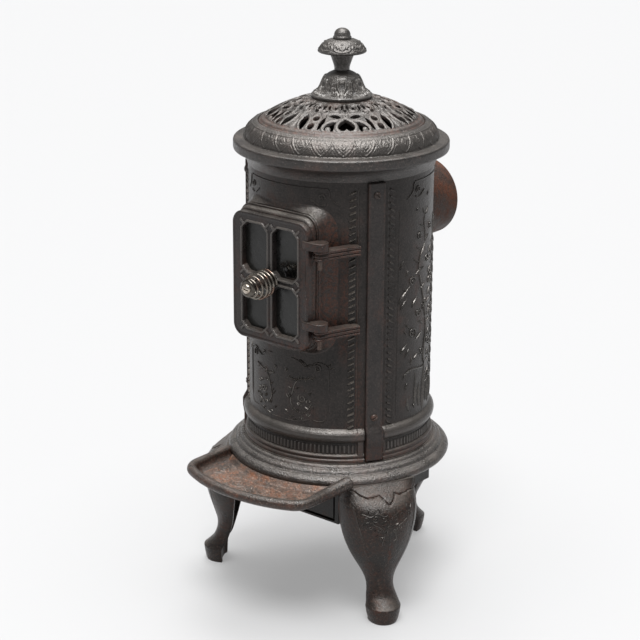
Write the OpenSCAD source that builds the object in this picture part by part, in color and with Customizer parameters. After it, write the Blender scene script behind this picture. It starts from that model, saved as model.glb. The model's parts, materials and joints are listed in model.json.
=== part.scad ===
// Round cast-iron heating stove on three cabriole legs: a barrel of three
// ornamented panels between a moulded base and a moulded top rim, a pierced
// lift-off dome with a turned finial, a windowed loading door with a coiled
// wire handle, a hearth tray, an ash pan below and a flue collar behind.
// Millimetres, +Z up, floor at z = 0. The door faces -Y and the flue +Y.
// Angles called phi are measured at the barrel axis, from -Y towards +X.

/* [Barrel] */
// Outer radius of the barrel
barrel_r = 120; // [119.5:0.1:120.5]
// Thickness of the cast barrel wall
barrel_wall = 5; // [4.5:0.1:5.5]
// Height of the seat the barrel stands on
barrel_z0 = 208; // [208:0.1:209]
// Height of the barrel's top edge
barrel_z1 = 579; // [578:0.1:579]
// Outer radius of the vertical strips that cover the seams
strip_r = 124.5; // [124:0.1:125]
// Width of a seam strip, in degrees
strip_deg = 10.5; // [9:0.1:10.6]

/* [Base] */
// Height of the underside of the base
base_z = 178; // [177.6:0.1:178.4]
// Thickness of the base floor
base_floor = 6; // [5.5:0.1:6.5]
// Radius of the fire grate
grate_r = 103; // [101:0.1:103.5]
// Radius at which the leg bolts stand
leg_bolt_r = 122; // [121:0.1:123]
// Wall thickness of a leg
leg_wall = 5.5; // [5:0.1:6]

/* [Hearth tray] */
// Reach of the tray's rim centre line from the barrel axis
tray_reach = 219; // [216:0.5:222]
// Half width of the tray at the rim centre line
tray_half = 97; // [96:0.5:98]
// Radius of the rolled rim
tray_roll = 6.5; // [6:0.1:7]
// Height of the centre of the rolled rim
tray_roll_z = 186; // [185.5:0.1:187]

/* [Ash box] */
// Half width of the ash box
box_half = 87; // [86:0.1:87]
// Height of the underside of the ash box
box_z = 127; // [126:0.5:128]
// Front of the ash box, measured from the barrel axis
box_front = 107.5; // [107:0.1:107.5]
// Clearance round the ash pan's front in its opening
pan_gap = 2.2; // [1.5:0.1:2.5]

/* [Door] */
// Half width of the door
door_half = 62.5; // [62:0.1:63]
// Bottom edge of the door
door_z0 = 365.5; // [365:0.1:366]
// Top edge of the door
door_z1 = 532.5; // [532:0.1:533]
// Front face of the door, measured from the barrel axis
door_front = 142; // [141.5:0.1:142.5]
// Thickness of the door plate
door_t = 8; // [7.6:0.1:8]
// Radius of the door's corners
door_corner = 17; // [15:0.5:19]
// Hinge pin position to the side of the door's centre line
pin_x = 73; // [72.5:0.1:73.5]
// Hinge pin position in front of the barrel axis
pin_y = 131; // [130.5:0.1:131]
// Radius of the hinge pins
pin_r = 3; // [2.8:0.1:3.2]

/* [Handle] */
// Radius of the handle stud
stud_r = 5; // [4.5:0.1:5]
// Radius of the handle wire
wire_r = 1.6; // [1.4:0.1:1.7]
// Number of turns of the handle coil
coil_turns = 5.5; // [5:0.25:5.75]
// Largest radius of the coil's centre line
coil_r = 17.6; // [16.5:0.1:18]

/* [Top] */
// Outer radius of the flat brim
brim_r = 139.4; // [138.5:0.1:140]
// Radius of the pierced dome's edge
dome_r = 106.8; // [106.4:0.1:106.9]
// Radius of curvature of the dome
dome_R = 188; // [186:0.5:190]
// Number of repeats of the pierced pattern
pierce_n = 12; // [10:1:12]
// Radius of the inner cover plate
cover_r = 97; // [95:0.1:98]

/* [Flue] */
// Outer radius of the flue collar
flue_r = 53.5; // [52:0.1:54]
// Wall thickness of the flue collar
flue_wall = 4.5; // [4:0.1:5]
// Height of the flue axis
flue_z = 496; // [494:0.5:498]
// Reach of the flue collar's end from the barrel axis
flue_reach = 188.5; // [186:0.5:189]

/* [Hidden] */
$fn = 64;
tray_out = tray_reach + tray_roll;
// The barrel axis stands behind the origin so that the origin is the middle
// of the whole stove's footprint.
axis_y = (tray_out - flue_reach) / 2;
leg_phis = [60, -60, 180];
rod_phis = [75, -75, 140, -140];
rod_at = 108;
door_zc = (door_z0 + door_z1) / 2;
door_back = door_front - door_t;
neck_half = 60;
neck_face = door_back - 0.4;
neck_in = 53.5;
iron = [0.235, 0.222, 0.212];
iron_dark = [0.17, 0.16, 0.155];
rust = [0.36, 0.25, 0.19];
nickel = [0.62, 0.60, 0.56];
steel = [0.42, 0.40, 0.38];

module at_axis() { translate([0, axis_y, 0]) children(); }
module at_phi(a) { rotate([0, 0, a]) children(); }
// A sector of revolution, w degrees wide and centred on phi = a.
module sector(a, w) { rotate([0, 0, a - 90 - w / 2]) rotate_extrude(angle = w, $fn = 180) children(); }
// Rectangle with round corners, centred.
module rrect(w, h, r) {
  square([w - 2 * r, h], center = true);
  square([w, h - 2 * r], center = true);
  for (x = [-1, 1], y = [-1, 1]) translate([x * (w / 2 - r), y * (h / 2 - r)]) circle(r, $fn = 48);
}
// Rectangle with cut corners, centred.
module crect(w, h, c) {
  polygon([[-w/2 + c, -h/2], [w/2 - c, -h/2], [w/2, -h/2 + c], [w/2, h/2 - c],
    [w/2 - c, h/2], [-w/2 + c, h/2], [-w/2, h/2 - c], [-w/2, -h/2 + c]]);
}
// Extrudes a drawing of the (x, z) plane from y = -y0 to y = -y1.
module facing(y0, y1) { translate([0, -y1, 0]) rotate([90, 0, 0]) linear_extrude(y0 - y1) children(); }
// A rod along Y between y = -y0 and y = -y1 at (x, z).
module yrod(x, z, r, y0, y1, fn = 48) { translate([x, -y1, z]) rotate([90, 0, 0]) cylinder(r = r, h = y0 - y1, $fn = fn); }
module zrod(x, y, r, z0, z1, fn = 48) { translate([x, y, z0]) cylinder(r = r, h = z1 - z0, $fn = fn); }

// ---------------------------------------------------------------- legs
// Rows of a leg's shape: height, reach of its front, half width, reach of
// its side edges, and how far it is hollowed from behind.
leg_rows = [
  [0, 185.5, 19.3, 160, 0.14], [3, 186.5, 20.2, 160, 0.16], [14, 188.2, 22.4, 160, 0.2],
  [20, 188.3, 22.9, 159.5, 0.24], [23.5, 186.5, 22.8, 158.5, 0.32], [28, 181.5, 22, 156.5, 0.5],
  [34, 176, 20.8, 152.5, 0.8], [41, 172, 19.6, 150, 0.95], [49, 169.6, 19.2, 147.6, 1],
  [58, 168.8, 21, 145.2, 1], [66, 169.6, 24.2, 143.4, 1], [75, 171.8, 29, 141.6, 1],
  [85, 174.8, 34.6, 139.8, 1], [95, 178, 39.4, 138, 1], [106, 181.2, 43.8, 136.2, 1],
  [118, 184, 47.2, 134.8, 1], [130, 185.6, 49.9, 134, 1], [141, 185.6, 51.7, 133.5, 1],
  [151, 183.6, 52.6, 133.2, 1], [159, 180, 52.7, 133, 1], [166, 174.8, 52.2, 133, 1],
  [171.5, 168, 51.4, 133, 1], [175.5, 160.5, 50.6, 133, 1], [178, 152.5, 50, 133, 1]];
leg_n = 12;
function leg_out(k, t) = [leg_rows[k][2] * sin(90 * t),
  -(leg_rows[k][3] + (leg_rows[k][1] - leg_rows[k][3]) * pow(max(cos(90 * t), 0), 0.82)), leg_rows[k][0]];
function leg_in(k, t) = [(leg_rows[k][2] - leg_wall) * sin(90 * t),
  -(leg_rows[k][3] + leg_rows[k][4] * (leg_rows[k][1] - leg_wall - leg_rows[k][3]) * pow(max(cos(90 * t), 0), 0.82)), leg_rows[k][0]];
function leg_ring(k) = concat([for (i = [0 : leg_n]) leg_out(k, 2 * i / leg_n - 1)],
  [for (i = [leg_n : -1 : 0]) leg_in(k, 2 * i / leg_n - 1)]);
module leg_shell() {
  m = 2 * (leg_n + 1);
  rows = len(leg_rows);
  pts = [for (k = [0 : rows - 1]) each leg_ring(k)];
  // Each row is a C: quads join the rows, and quads close the ends.
  sides = [for (k = [0 : rows - 2], i = [0 : m - 1]) each [
    [k * m + i, (k + 1) * m + i, (k + 1) * m + (i + 1) % m],
    [k * m + i, (k + 1) * m + (i + 1) % m, k * m + (i + 1) % m]]];
  low = [for (i = [0 : leg_n - 1]) each [
    [i, i + 1, m - 2 - i], [i, m - 2 - i, m - 1 - i]]];
  b = (rows - 1) * m;
  high = [for (i = [0 : leg_n - 1]) each [
    [b + i, b + m - 2 - i, b + i + 1], [b + i, b + m - 1 - i, b + m - 2 - i]]];
  polyhedron(points = pts, faces = concat(sides, low, high));
}
module leg(a) {
  color(iron) at_axis() at_phi(a) {
    leg_shell();
    difference() {
      translate([-12, -151, base_z - 6]) cube([24, 41, 6]);
      zrod(0, -leg_bolt_r, 3.3, base_z - 7, base_z + 1);
    }
  }
}
module leg_right() { leg(leg_phis[0]); }
module leg_left() { leg(leg_phis[1]); }
module leg_rear() { leg(leg_phis[2]); }
module leg_bolts() {
  color(steel) at_axis() for (a = leg_phis) at_phi(a) {
    zrod(0, -leg_bolt_r, 6.4, base_z - 10.5, base_z - 6, 6);
    zrod(0, -leg_bolt_r, 3, base_z - 6, base_z + base_floor + 7);
  }
}
module leg_nuts() {
  color(steel) at_axis() for (a = leg_phis) at_phi(a) difference() {
    translate([-5, -leg_bolt_r - 5, base_z + base_floor]) cube([10, 10, 5]);
    zrod(0, -leg_bolt_r, 3.02, base_z + base_floor - 1, base_z + base_floor + 6);
  }
}

// ---------------------------------------------------------------- base
module base_plate() {
  zf = base_z + base_floor;
  color(iron) at_axis() difference() {
    rotate_extrude($fn = 180) polygon([
      [0, base_z], [137.6, base_z], [138.8, base_z + 1.2], [139.2, base_z + 2.8], [142.5, base_z + 4],
      [146.5, base_z + 6.2], [148.4, base_z + 8.8], [148.4, base_z + 11.2], [147.2, base_z + 14],
      [144.4, base_z + 16.8], [140.8, base_z + 18.6], [139.4, base_z + 18.6], [138.8, base_z + 19.6],
      [137.6, base_z + 22], [135.4, base_z + 24.2], [133.4, base_z + 24.6], [132.8, base_z + 25.6],
      [131.6, base_z + 27.8], [129.6, base_z + 29.2], [128, base_z + 29.2], [128, barrel_z0],
      [98, barrel_z0], [98, barrel_z0 - 5], [124, barrel_z0 - 5], [129, barrel_z0 - 8],
      [132.5, zf + 9], [133, zf + 4], [131, zf], [0, zf]]);
    // Opening through which the ash falls into the pan.
    translate([-70, -92, base_z - 1]) cube([140, 170, base_floor + 2]);
    for (a = leg_phis) at_phi(a) zrod(0, -leg_bolt_r, 3.3, base_z - 1, zf + 1);
    for (a = rod_phis) at_phi(a) zrod(0, -rod_at, 3.2, base_z - 1, barrel_z0 + 1);
    for (s = [-1, 1]) {
      zrod(s * 58, -115.5, 3.02, base_z - 1, zf);
      for (y = [-87, 87]) zrod(s * 92.5, y, 2.52, base_z - 1, zf);
    }
  }
}

// ---------------------------------------------------------------- hearth tray
tray_R = 190;
tray_cy = tray_reach - tray_R;
tray_corner = 26;
tray_cx = tray_half - tray_corner;
tray_ky = tray_cy + sqrt(pow(tray_R - tray_corner, 2) - pow(tray_cx, 2));
tray_ang = asin(tray_cx / (tray_R - tray_corner));
// Section of the rim, d outward of its centre line.
module tray_section() {
  translate([0, tray_roll_z]) circle(tray_roll, $fn = 36);
  polygon([[-16, base_z - 4.9], [-9.5, base_z - 4.9], [1.5, tray_roll_z - 5.8], [-2, tray_roll_z], [-6, tray_roll_z], [-14, base_z]]);
}
// Outline of the floor: the front arc, the round corners and straight sides,
// all inset from the rim's centre line so that the edge ends inside the rim.
tray_inset = 12.4;
module tray_floor_2d() {
  front = [for (i = [-16 : 16]) let (a = i / 16 * tray_ang)
    [(tray_R - tray_inset) * sin(a), -tray_cy - (tray_R - tray_inset) * cos(a)]];
  corner = [for (i = [1 : 10]) let (a = tray_ang + (90 - tray_ang) * i / 10)
    [tray_cx + (tray_corner - tray_inset) * sin(a), -tray_ky - (tray_corner - tray_inset) * cos(a)]];
  polygon(concat(front, corner, [[tray_half - tray_inset, -122], [76, -122], [76, -109], [-76, -109], [-76, -122],
    [-tray_half + tray_inset, -122]], [for (i = [9 : -1 : 0]) [-corner[i][0], corner[i][1]]]));
}
module hearth_tray() {
  color(rust) at_axis() difference() {
    union() {
      translate([0, 0, base_z - 4.4]) linear_extrude(4.4) tray_floor_2d();
      translate([0, -tray_cy, 0]) rotate([0, 0, -90 - tray_ang]) rotate_extrude(angle = 2 * tray_ang, $fn = 180)
        translate([tray_R, 0]) tray_section();
      for (s = [-1, 1]) translate([s * tray_cx, -tray_ky, 0])
        rotate([0, 0, s > 0 ? -90 + tray_ang : 180])
          rotate_extrude(angle = 90 - tray_ang, $fn = 96) translate([tray_corner, 0]) tray_section();
      for (s = [0, 1]) mirror([s, 0, 0]) translate([tray_half, -tray_ky, 0]) rotate([90, 0, 180])
        mirror([1, 0, 0]) linear_extrude(tray_ky - 100) tray_section();
    }
    // The rim ends hug the base moulding and clear the legs below it.
    translate([0, 0, base_z + 1]) cylinder(r = 149, h = 40, $fn = 180);
    for (s = [-1, 1]) translate([s > 0 ? 76 : -110, -121, base_z - 10]) cube([34, 30, 11.2]);
    for (s = [-1, 1]) zrod(s * 58, -115.5, 3.3, base_z - 6, base_z + 1);
  }
}
module hearth_screws() {
  color(steel) at_axis() for (s = [-1, 1]) {
    zrod(s * 58, -115.5, 3, base_z - 4.4, base_z + 5);
    zrod(s * 58, -115.5, 4.8, base_z - 7.4, base_z - 4.4);
  }
}

// ---------------------------------------------------------------- ash box and pan
box_back = 92;
module ash_box() {
  color(iron_dark) at_axis() difference() {
    union() {
      translate([-box_half, -box_front, box_z]) cube([2 * box_half, box_front + box_back, base_z - box_z]);
      for (s = [-1, 1], y = [-94, 80]) translate([s > 0 ? box_half - 1 : -box_half - 10, y, base_z - 3]) cube([11, 14, 3]);
    }
    translate([-box_half + 3, -box_front + 3, box_z + 3]) cube([2 * box_half - 6, box_front + box_back - 6, base_z - box_z]);
    translate([-box_half + 6.5, -box_front - 1, box_z + 3]) cube([2 * box_half - 13, 6, 42]);
    for (s = [-1, 1], y = [-87, 87]) zrod(s * 92.5, y, 2.7, base_z - 5, base_z + 1);
  }
}
module box_screws() {
  color(steel) at_axis() for (s = [-1, 1], y = [-87, 87]) {
    zrod(s * 92.5, y, 2.5, base_z - 3, base_z + 5);
    zrod(s * 92.5, y, 4.2, base_z - 5.6, base_z - 3);
  }
}
pan_half = box_half - 9.5;
module ash_pan() {
  color(iron_dark) at_axis() difference() {
    translate([-pan_half, -box_front + 4, box_z + 3.3]) cube([2 * pan_half, box_front + box_back - 12, 34]);
    translate([-pan_half + 2, -box_front + 6, box_z + 5.3]) cube([2 * pan_half - 4, box_front + box_back - 16, 40]);
  }
}
module ash_pan_front() {
  color(iron) at_axis()
    translate([0, 0, box_z + 24.5]) facing(box_front, box_front - 4)
      square([2 * (box_half - 6.5 - pan_gap), 41 - 2 * pan_gap], center = true);
}
module ash_pan_pull() {
  color(iron_dark) at_axis() translate([0, -box_front, box_z + 24.5]) rotate([90, 0, 0])
    rotate_extrude($fn = 48) polygon([[0, 0], [8, 0], [8, 1.6], [4, 3], [4, 8], [7.5, 10.5], [9, 13], [8, 15.5], [4.5, 17], [0, 17.4]]);
}
module fire_grate() {
  color(rust) at_axis() difference() {
    translate([0, 0, barrel_z0]) cylinder(r = grate_r, h = 9, $fn = 120);
    for (i = [-5 : 5]) let (x = i * 16, h = sqrt(pow(grate_r - 12, 2) - x * x) - 1)
      for (s = [-1, 1]) translate([x - 4, s > 0 ? 4 : -h, barrel_z0 - 1]) cube([8, h - 4, 11]);
  }
}

// ---------------------------------------------------------------- barrel
module wall_2d() { translate([barrel_r - barrel_wall, barrel_z0]) square([barrel_wall, barrel_z1 - barrel_z0]); }
// Bulge, sunk band and bead round the foot of the barrel.
module plinth_2d() {
  polygon([[barrel_r - 1, barrel_z0], [126.2, barrel_z0], [126.2, 211.5], [124.6, 213], [124.6, 214.2], [125.6, 215.6],
    [125.4, 217.4], [123.6, 218.8], [122.4, 219.4], [122.2, 234.2], [123.4, 235], [125.6, 236.6],
    [127.2, 239.4], [127.8, 243], [127, 246.6], [124.8, 249.8], [122, 252], [barrel_r, 253], [barrel_r - 1, 254]]);
}
module panel(a) {
  sector(a, 119.7) wall_2d();
  sector(a, 119.9 - strip_deg - 1.2) plinth_2d();
}
module flue_hole() { translate([0, 100, flue_z]) rotate([-90, 0, 0]) cylinder(r = flue_r - flue_wall, h = 30, $fn = 96); }
module flue_bolt_axes(r, y0, y1) {
  for (a = [45 : 90 : 315]) translate([62 * sin(a), y0, flue_z + 62 * cos(a)]) rotate([-90, 0, 0]) cylinder(r = r, h = y1 - y0, $fn = 32);
}
arm_phi = 44;
module arm_screw_axes(r, r0, r1) {
  for (z = [door_z0 + 24.5, door_z0 + 128.5]) at_phi(arm_phi) yrod(0, z, r, r1, r0, 32);
}
// Heights of a strip's screws; the rear strip stops below the flue collar.
function screw_zs(a) = [barrel_z0 + 60, a == 180 ? 408 : 562];
module strip_screw_axes(r, r0, r1) {
  for (a = leg_phis, z = screw_zs(a)) at_phi(a) yrod(0, z, r, r1, r0, 32);
}
module front_panel() {
  zc = door_zc;
  h = door_z1 - door_z0;
  color(iron) at_axis() difference() {
    union() {
      panel(0);
      difference() {
        union() {
          // Neck that carries the door, with a wider band at its root.
          translate([0, 0, zc]) facing(neck_face, 96) rrect(2 * neck_half, h - 2, 16);
          translate([0, 0, zc]) facing(115, 93) rrect(2 * neck_half + 7, h + 5, 19);
        }
        translate([0, 0, barrel_z0]) cylinder(r = barrel_r - 2, h = 400, $fn = 180);
      }
    }
    translate([0, 0, zc]) facing(150, 80) rrect(2 * neck_in, h - 12, 11);
    arm_screw_axes(2.7, 100, 122);
    strip_screw_axes(2.55, 100, 122);
  }
}
module side_panel(a) {
  color(iron) at_axis() difference() {
    panel(a);
    flue_hole();
    flue_bolt_axes(2.7, 90, 130);
    strip_screw_axes(2.55, 100, 122);
  }
}
module right_panel() { side_panel(120); }
module left_panel() { side_panel(-120); }
module strip_2d() {
  polygon([[barrel_r, barrel_z0 + 1], [128.6, barrel_z0 + 1], [128.6, 226], [130.4, 236], [130.4, 247], [strip_r + 1, 256],
    [strip_r, 259], [strip_r, barrel_z1 - 1], [barrel_r, barrel_z1 - 1]]);
}
module seam_strip(a) {
  color(iron_dark) at_axis() difference() {
    sector(a, strip_deg) strip_2d();
    strip_screw_axes(2.7, 100, 135);
    if (a == 180) translate([-20, 100, 422]) cube([40, 40, 200]);
  }
}
module seam_strip_right() { seam_strip(leg_phis[0]); }
module seam_strip_left() { seam_strip(leg_phis[1]); }
module seam_strip_rear() { seam_strip(leg_phis[2]); }
module strip_screws() {
  color(rust) at_axis() for (a = leg_phis, z = screw_zs(a)) at_phi(a) {
    yrod(0, z, 2.5, strip_r + 0.6, barrel_r - barrel_wall - 4, 32);
    difference() {
      translate([0, -strip_r, z]) rotate([90, 0, 0]) rotate_extrude($fn = 40)
        polygon([[0, 0.01], [4.8, 0.01], [4.8, 0.8], [4, 2], [2.4, 2.8], [0, 3.1]]);
      translate([-0.6, -strip_r - 4, z - 6]) cube([1.2, 2.2, 12]);
    }
  }
}

// ---------------------------------------------------------------- top
module top_rim() {
  b = brim_r;
  color(iron) at_axis() difference() {
    rotate_extrude($fn = 180) polygon([
      [barrel_r + 1.3, barrel_z1], [122.2, 582], [124, 586], [127.4, 590.6], [132, 594.4], [136.6, 596.8],
      [b - 0.6, 597.4], [b, 598.6], [b, 607.4], [b - 0.6, 609.4], [b - 1.8, 610], [126.2, 610.6],
      [125.2, 611.4], [125.2, 614.2], [124.4, 618.2], [122.6, 622.2], [119.6, 626.2], [115.8, 629.6],
      [111.4, 632], [107.8, 633], [107.1, 632.4], [107.1, 628], [99.5, 628], [99.5, 624], [104.6, 623.6],
      [111.5, 620.6], [117, 615], [119, 609], [119, 592], [117, 588], [90, 588], [90, 583], [112, 583],
      [112, 570], [barrel_r - barrel_wall - 0.4, 570], [barrel_r - barrel_wall - 0.4, barrel_z1]]);
    for (a = rod_phis) at_phi(a) zrod(0, -rod_at, 3.2, 580, 592);
  }
}
module inner_cover() {
  color(iron_dark) at_axis() difference() {
    union() {
      translate([0, 0, 588]) cylinder(r = cover_r, h = 5, $fn = 120);
      translate([0, 0, 593]) cylinder(r = 60, h = 2, $fn = 96);
    }
    // Pocket for the lifting tool.
    translate([-6, 62, 590]) cube([12, 20, 4]);
  }
}
// Sphere on which the dome lies.
dome_c = 632 - sqrt(dome_R * dome_R - 107 * 107);
module dome_shell() {
  rotate_extrude($fn = 180) {
    intersection() {
      difference() {
        translate([0, dome_c]) circle(dome_R, $fn = 360);
        translate([0, dome_c]) circle(dome_R - 4.5, $fn = 360);
      }
      translate([4.5, 628]) square([dome_r - 4.5, 60]);
    }
    translate([100, 628]) square([dome_r - 100, 4]);
    translate([4.5, 655]) square([9, 7]);
  }
}
module heart_2d(s) {
  for (x = [-1, 1]) translate([x * 0.46 * s, 0]) circle(0.52 * s, $fn = 24);
  polygon([[-0.93 * s, -0.22 * s], [0.93 * s, -0.22 * s], [0, -1.35 * s]]);
}
module leaf_2d(l, w) {
  intersection() {
    translate([(l * l / w - w) / 4, 0]) circle((l * l / w + w) / 4, $fn = 40);
    translate([-(l * l / w - w) / 4, 0]) circle((l * l / w + w) / 4, $fn = 40);
  }
}
module dome() {
  step = 360 / pierce_n;
  color(iron) at_axis() difference() {
    dome_shell();
    translate([0, 0, 610]) linear_extrude(80) for (i = [0 : pierce_n - 1]) rotate(i * step) {
      translate([0, -90.5]) rotate(180) heart_2d(5.6);
      for (s = [-1, 1]) {
        rotate(s * step * 0.29) translate([0, -86]) rotate(s * 24) leaf_2d(17, 5.2);
        rotate(s * step * 0.2) translate([0, -71]) rotate(s * 38) leaf_2d(12, 4.4);
      }
      rotate(step / 2) translate([0, -75]) leaf_2d(13, 5);
    }
  }
}
module turned(pts) { color(iron) at_axis() difference() { rotate_extrude($fn = 96) polygon(pts); translate([0, 0, 640]) cylinder(r = 3.2, h = 103, $fn = 48); } }
module finial_bell() {
  turned([[0, 692], [0, 696.6], [9.6, 696.6], [12.2, 695.2], [17.6, 692.6], [22.4, 688.4], [25, 683],
    [27, 677.6], [29.6, 672.4], [33.4, 668.8], [38, 667], [38.9, 665.6], [38.7, 663], [37.6, 661.8],
    [33, 662.7], [30, 664.4], [26.4, 668.6], [23.6, 674.6], [21.4, 681], [17, 687.4], [12, 690.8], [5, 692]]);
}
module finial_cup() { turned([[0, 696.6], [9.8, 696.6], [9.8, 699.4], [11, 703.6], [13, 707.6], [14.6, 710.6], [14.6, 713.2], [0, 713.2]]); }
module finial_cap() {
  turned([[0, 713.2], [16, 713.2], [24, 713.8], [29.6, 715.2], [31.3, 717], [31.4, 718.8], [30.2, 721.4],
    [27.6, 725.4], [24.2, 729.6], [20.6, 733], [17.6, 735], [14, 736.2], [0, 736.2]]);
}
module finial_bead() {
  turned([[0, 736.2], [11.2, 736.2], [11.6, 737.4], [11.4, 739.2], [10.6, 740.2], [10.5, 742], [9.6, 744.8],
    [7.8, 747.2], [5.2, 749], [2.6, 749.8], [0, 750]]);
}
module finial_rod() {
  color(steel) at_axis() {
    zrod(0, 0, 3, 649, 742.6);
    zrod(0, 0, 7, 651, 655, 6);
  }
}

// ---------------------------------------------------------------- door
win_x0 = 5; win_x1 = 45;
win_z = [[door_zc - 69.2, door_zc - 5], [door_zc + 5.6, door_zc + 70]];
module windows_2d(g = 0, c = 8) {
  for (s = [-1, 1], w = win_z)
    translate([s * (win_x0 + win_x1) / 2, (w[0] + w[1]) / 2]) crect(win_x1 - win_x0 + 2 * g, w[1] - w[0] + 2 * g, c);
}
lug_z = [door_z0 + 31, door_z0 + 135];
lug_h = 11;
module door_frame() {
  color(iron) at_axis() difference() {
    union() {
      translate([0, 0, door_zc]) facing(door_front - 1.2, door_back) rrect(2 * door_half, door_z1 - door_z0, door_corner);
      // Raised line just inside the edge.
      translate([0, 0, door_zc]) facing(door_front, door_front - 2) rrect(2 * door_half - 3, door_z1 - door_z0 - 3, door_corner - 1.5);
      // Moulding round each window and the boss where the bars cross.
      facing(door_front + 0.8, door_front - 2) windows_2d(2.4, 8.6);
      yrod(0, door_zc, 11, door_front + 1, door_front - 2);
      for (z = lug_z) {
        translate([door_half - 8, -door_front + 1.5, z]) cube([pin_x - door_half + 8, door_t - 1.5, lug_h]);
        translate([door_half, -door_front + 1.5, z]) cube([pin_x - door_half, 13.5, lug_h]);
        zrod(pin_x, -pin_y, 9.5, z, z + lug_h);
      }
    }
    facing(door_front + 2, door_back - 1) windows_2d();
    yrod(0, door_zc, stud_r + 0.05, door_front + 2, door_back - 1);
    for (z = lug_z) zrod(pin_x, -pin_y, pin_r + 0.05, z - 1, z + lug_h + 1);
    mica_screw_axes(1.52, door_back + 5, door_back - 1);
  }
}
module mica_panes() {
  // The panes reach less far over the bars than over the frame, to clear the stud.
  color([0.16, 0.14, 0.11, 0.75]) at_axis() for (s = [-1, 1], w = win_z)
    translate([s > 0 ? win_x0 - 1 : -win_x1 - 1.5, -door_back + 0.05, w[0] - 1])
      cube([win_x1 - win_x0 + 2.5, 0.9, w[1] - w[0] + 2]);
}
module mica_screw_axes(r, y0, y1) {
  for (s = [-1, 1], z = [-58, -20, 20, 58]) yrod(s * 48.4, door_zc + z, r, y0, y1, 24);
}
module mica_retainer() {
  color(iron_dark) at_axis() difference() {
    translate([0, 0, door_zc + 0.4]) facing(door_back - 1, door_back - 3.6) rrect(2 * 52, win_z[1][1] - win_z[0][0] + 11, 8);
    facing(door_back + 1, door_back - 6) windows_2d(-1.5, 7);
    yrod(0, door_zc, stud_r + 1.2, door_back + 1, door_back - 8);
    mica_screw_axes(1.7, door_back + 1, door_back - 8);
  }
}
module mica_screws() {
  color(steel) at_axis() {
    mica_screw_axes(1.5, door_back + 4, door_back - 3.6);
    mica_screw_axes(2.8, door_back - 3.6, door_back - 5.2);
  }
}
module hinge_arm(z0) {
  ex = 84.5; ey = 82.5;
  d = atan2(ex - pin_x, pin_y - ey);
  l = sqrt(pow(ex - pin_x, 2) + pow(pin_y - ey, 2));
  color(iron) at_axis() difference() {
    union() {
      zrod(pin_x, -pin_y, 9, z0, z0 + 12);
      translate([pin_x, -pin_y, z0]) rotate([0, 0, -d]) translate([-7.5, 0, 0]) cube([15, l + 6, 12]);
    }
    translate([0, 0, z0 - 1]) cylinder(r = barrel_r + 0.02, h = 14, $fn = 180);
    zrod(pin_x, -pin_y, pin_r + 0.02, z0 - 1, z0 + 13);
    arm_screw_axes(2.52, 110, 127);
  }
}
module hinge_arm_upper() { hinge_arm(lug_z[1] - 0.4 - 12); }
module hinge_arm_lower() { hinge_arm(lug_z[0] - 0.4 - 12); }
module hinge_screws() {
  color(steel) at_axis() {
    arm_screw_axes(2.5, barrel_r - barrel_wall - 0.5, 126);
    arm_screw_axes(4.6, barrel_r - barrel_wall - 3.4, barrel_r - barrel_wall - 0.35);
  }
}
module hinge_pins() {
  color(steel) at_axis() for (z = lug_z) zrod(pin_x, -pin_y, pin_r, z - 25, z + lug_h - 0.4);
}

// ---------------------------------------------------------------- handle and latch
module handle_washers() {
  color(nickel) at_axis() {
    difference() { yrod(0, door_zc, 13, door_front + 3.2, door_front + 1.2); yrod(0, door_zc, stud_r + 0.02, door_front + 4, door_front); }
    difference() { yrod(0, door_zc, 11.5, door_front + 42.6, door_front + 40.2); yrod(0, door_zc, 2.6, door_front + 44, door_front + 39); }
  }
}
coil_y0 = door_front + 3.2 + wire_r;
coil_y1 = door_front + 40.2 - wire_r;
function coil_path_r(t) = t < 0.62 ? coil_r : coil_r - 7.4 * pow((t - 0.62) / 0.38, 1.3);
function coil_point(t) = let (a = 360 * coil_turns * t, r = coil_path_r(t)) [r * cos(a), -(coil_y0 + (coil_y1 - coil_y0) * t), door_zc + r * sin(a)];
module handle_spring() {
  n = 100; m = 8;
  pts = [for (i = [0 : n]) let (t = i / n, a = 360 * coil_turns * t, c = coil_point(t))
    for (j = [0 : m - 1]) let (b = 360 * j / m)
      [c[0] + wire_r * cos(b) * cos(a), c[1] + wire_r * sin(b), c[2] + wire_r * cos(b) * sin(a)]];
  sides = [for (i = [0 : n - 1], j = [0 : m - 1]) each [
    [i * m + j, i * m + (j + 1) % m, (i + 1) * m + (j + 1) % m],
    [i * m + j, (i + 1) * m + (j + 1) % m, (i + 1) * m + j]]];
  ends = [[for (j = [m - 1 : -1 : 0]) j], [for (j = [0 : m - 1]) n * m + j]];
  color(nickel) at_axis() polyhedron(points = pts, faces = concat(sides, ends));
}
module handle_stud() {
  color(steel) at_axis() difference() {
    union() {
      yrod(0, door_zc, stud_r, door_front + 40.2, 124);
      yrod(0, door_zc, 3.4, 124.5, 114);
    }
    yrod(0, door_zc, 2.52, door_front + 41, door_front + 26, 32);
  }
}
module handle_screw() {
  color(nickel) at_axis() {
    yrod(0, door_zc, 2.5, door_front + 43, door_front + 28, 32);
    difference() {
      translate([0, -door_front - 42.6, door_zc]) rotate([90, 0, 0]) rotate_extrude($fn = 48)
        polygon([[0, 0], [6.35, 0], [6.35, 1], [5.6, 2.6], [4.2, 3.8], [2.2, 4.4], [0, 4.6]]);
      translate([-8, -door_front - 48, door_zc - 0.7]) cube([16, 2.8, 1.4]);
    }
  }
}
module latch_bar() {
  color(iron_dark) at_axis() difference() {
    union() {
      yrod(0, door_zc, 9, 124, 120.6);
      translate([-5, -124, door_zc]) cube([10, 3.4, 51.5]);
    }
    yrod(0, door_zc, 3.42, 126, 118);
  }
}
module latch_nut() {
  color(steel) at_axis() difference() {
    yrod(0, door_zc, 7, 120.6, 116.2, 6);
    yrod(0, door_zc, 3.42, 122, 115);
  }
}
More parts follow.
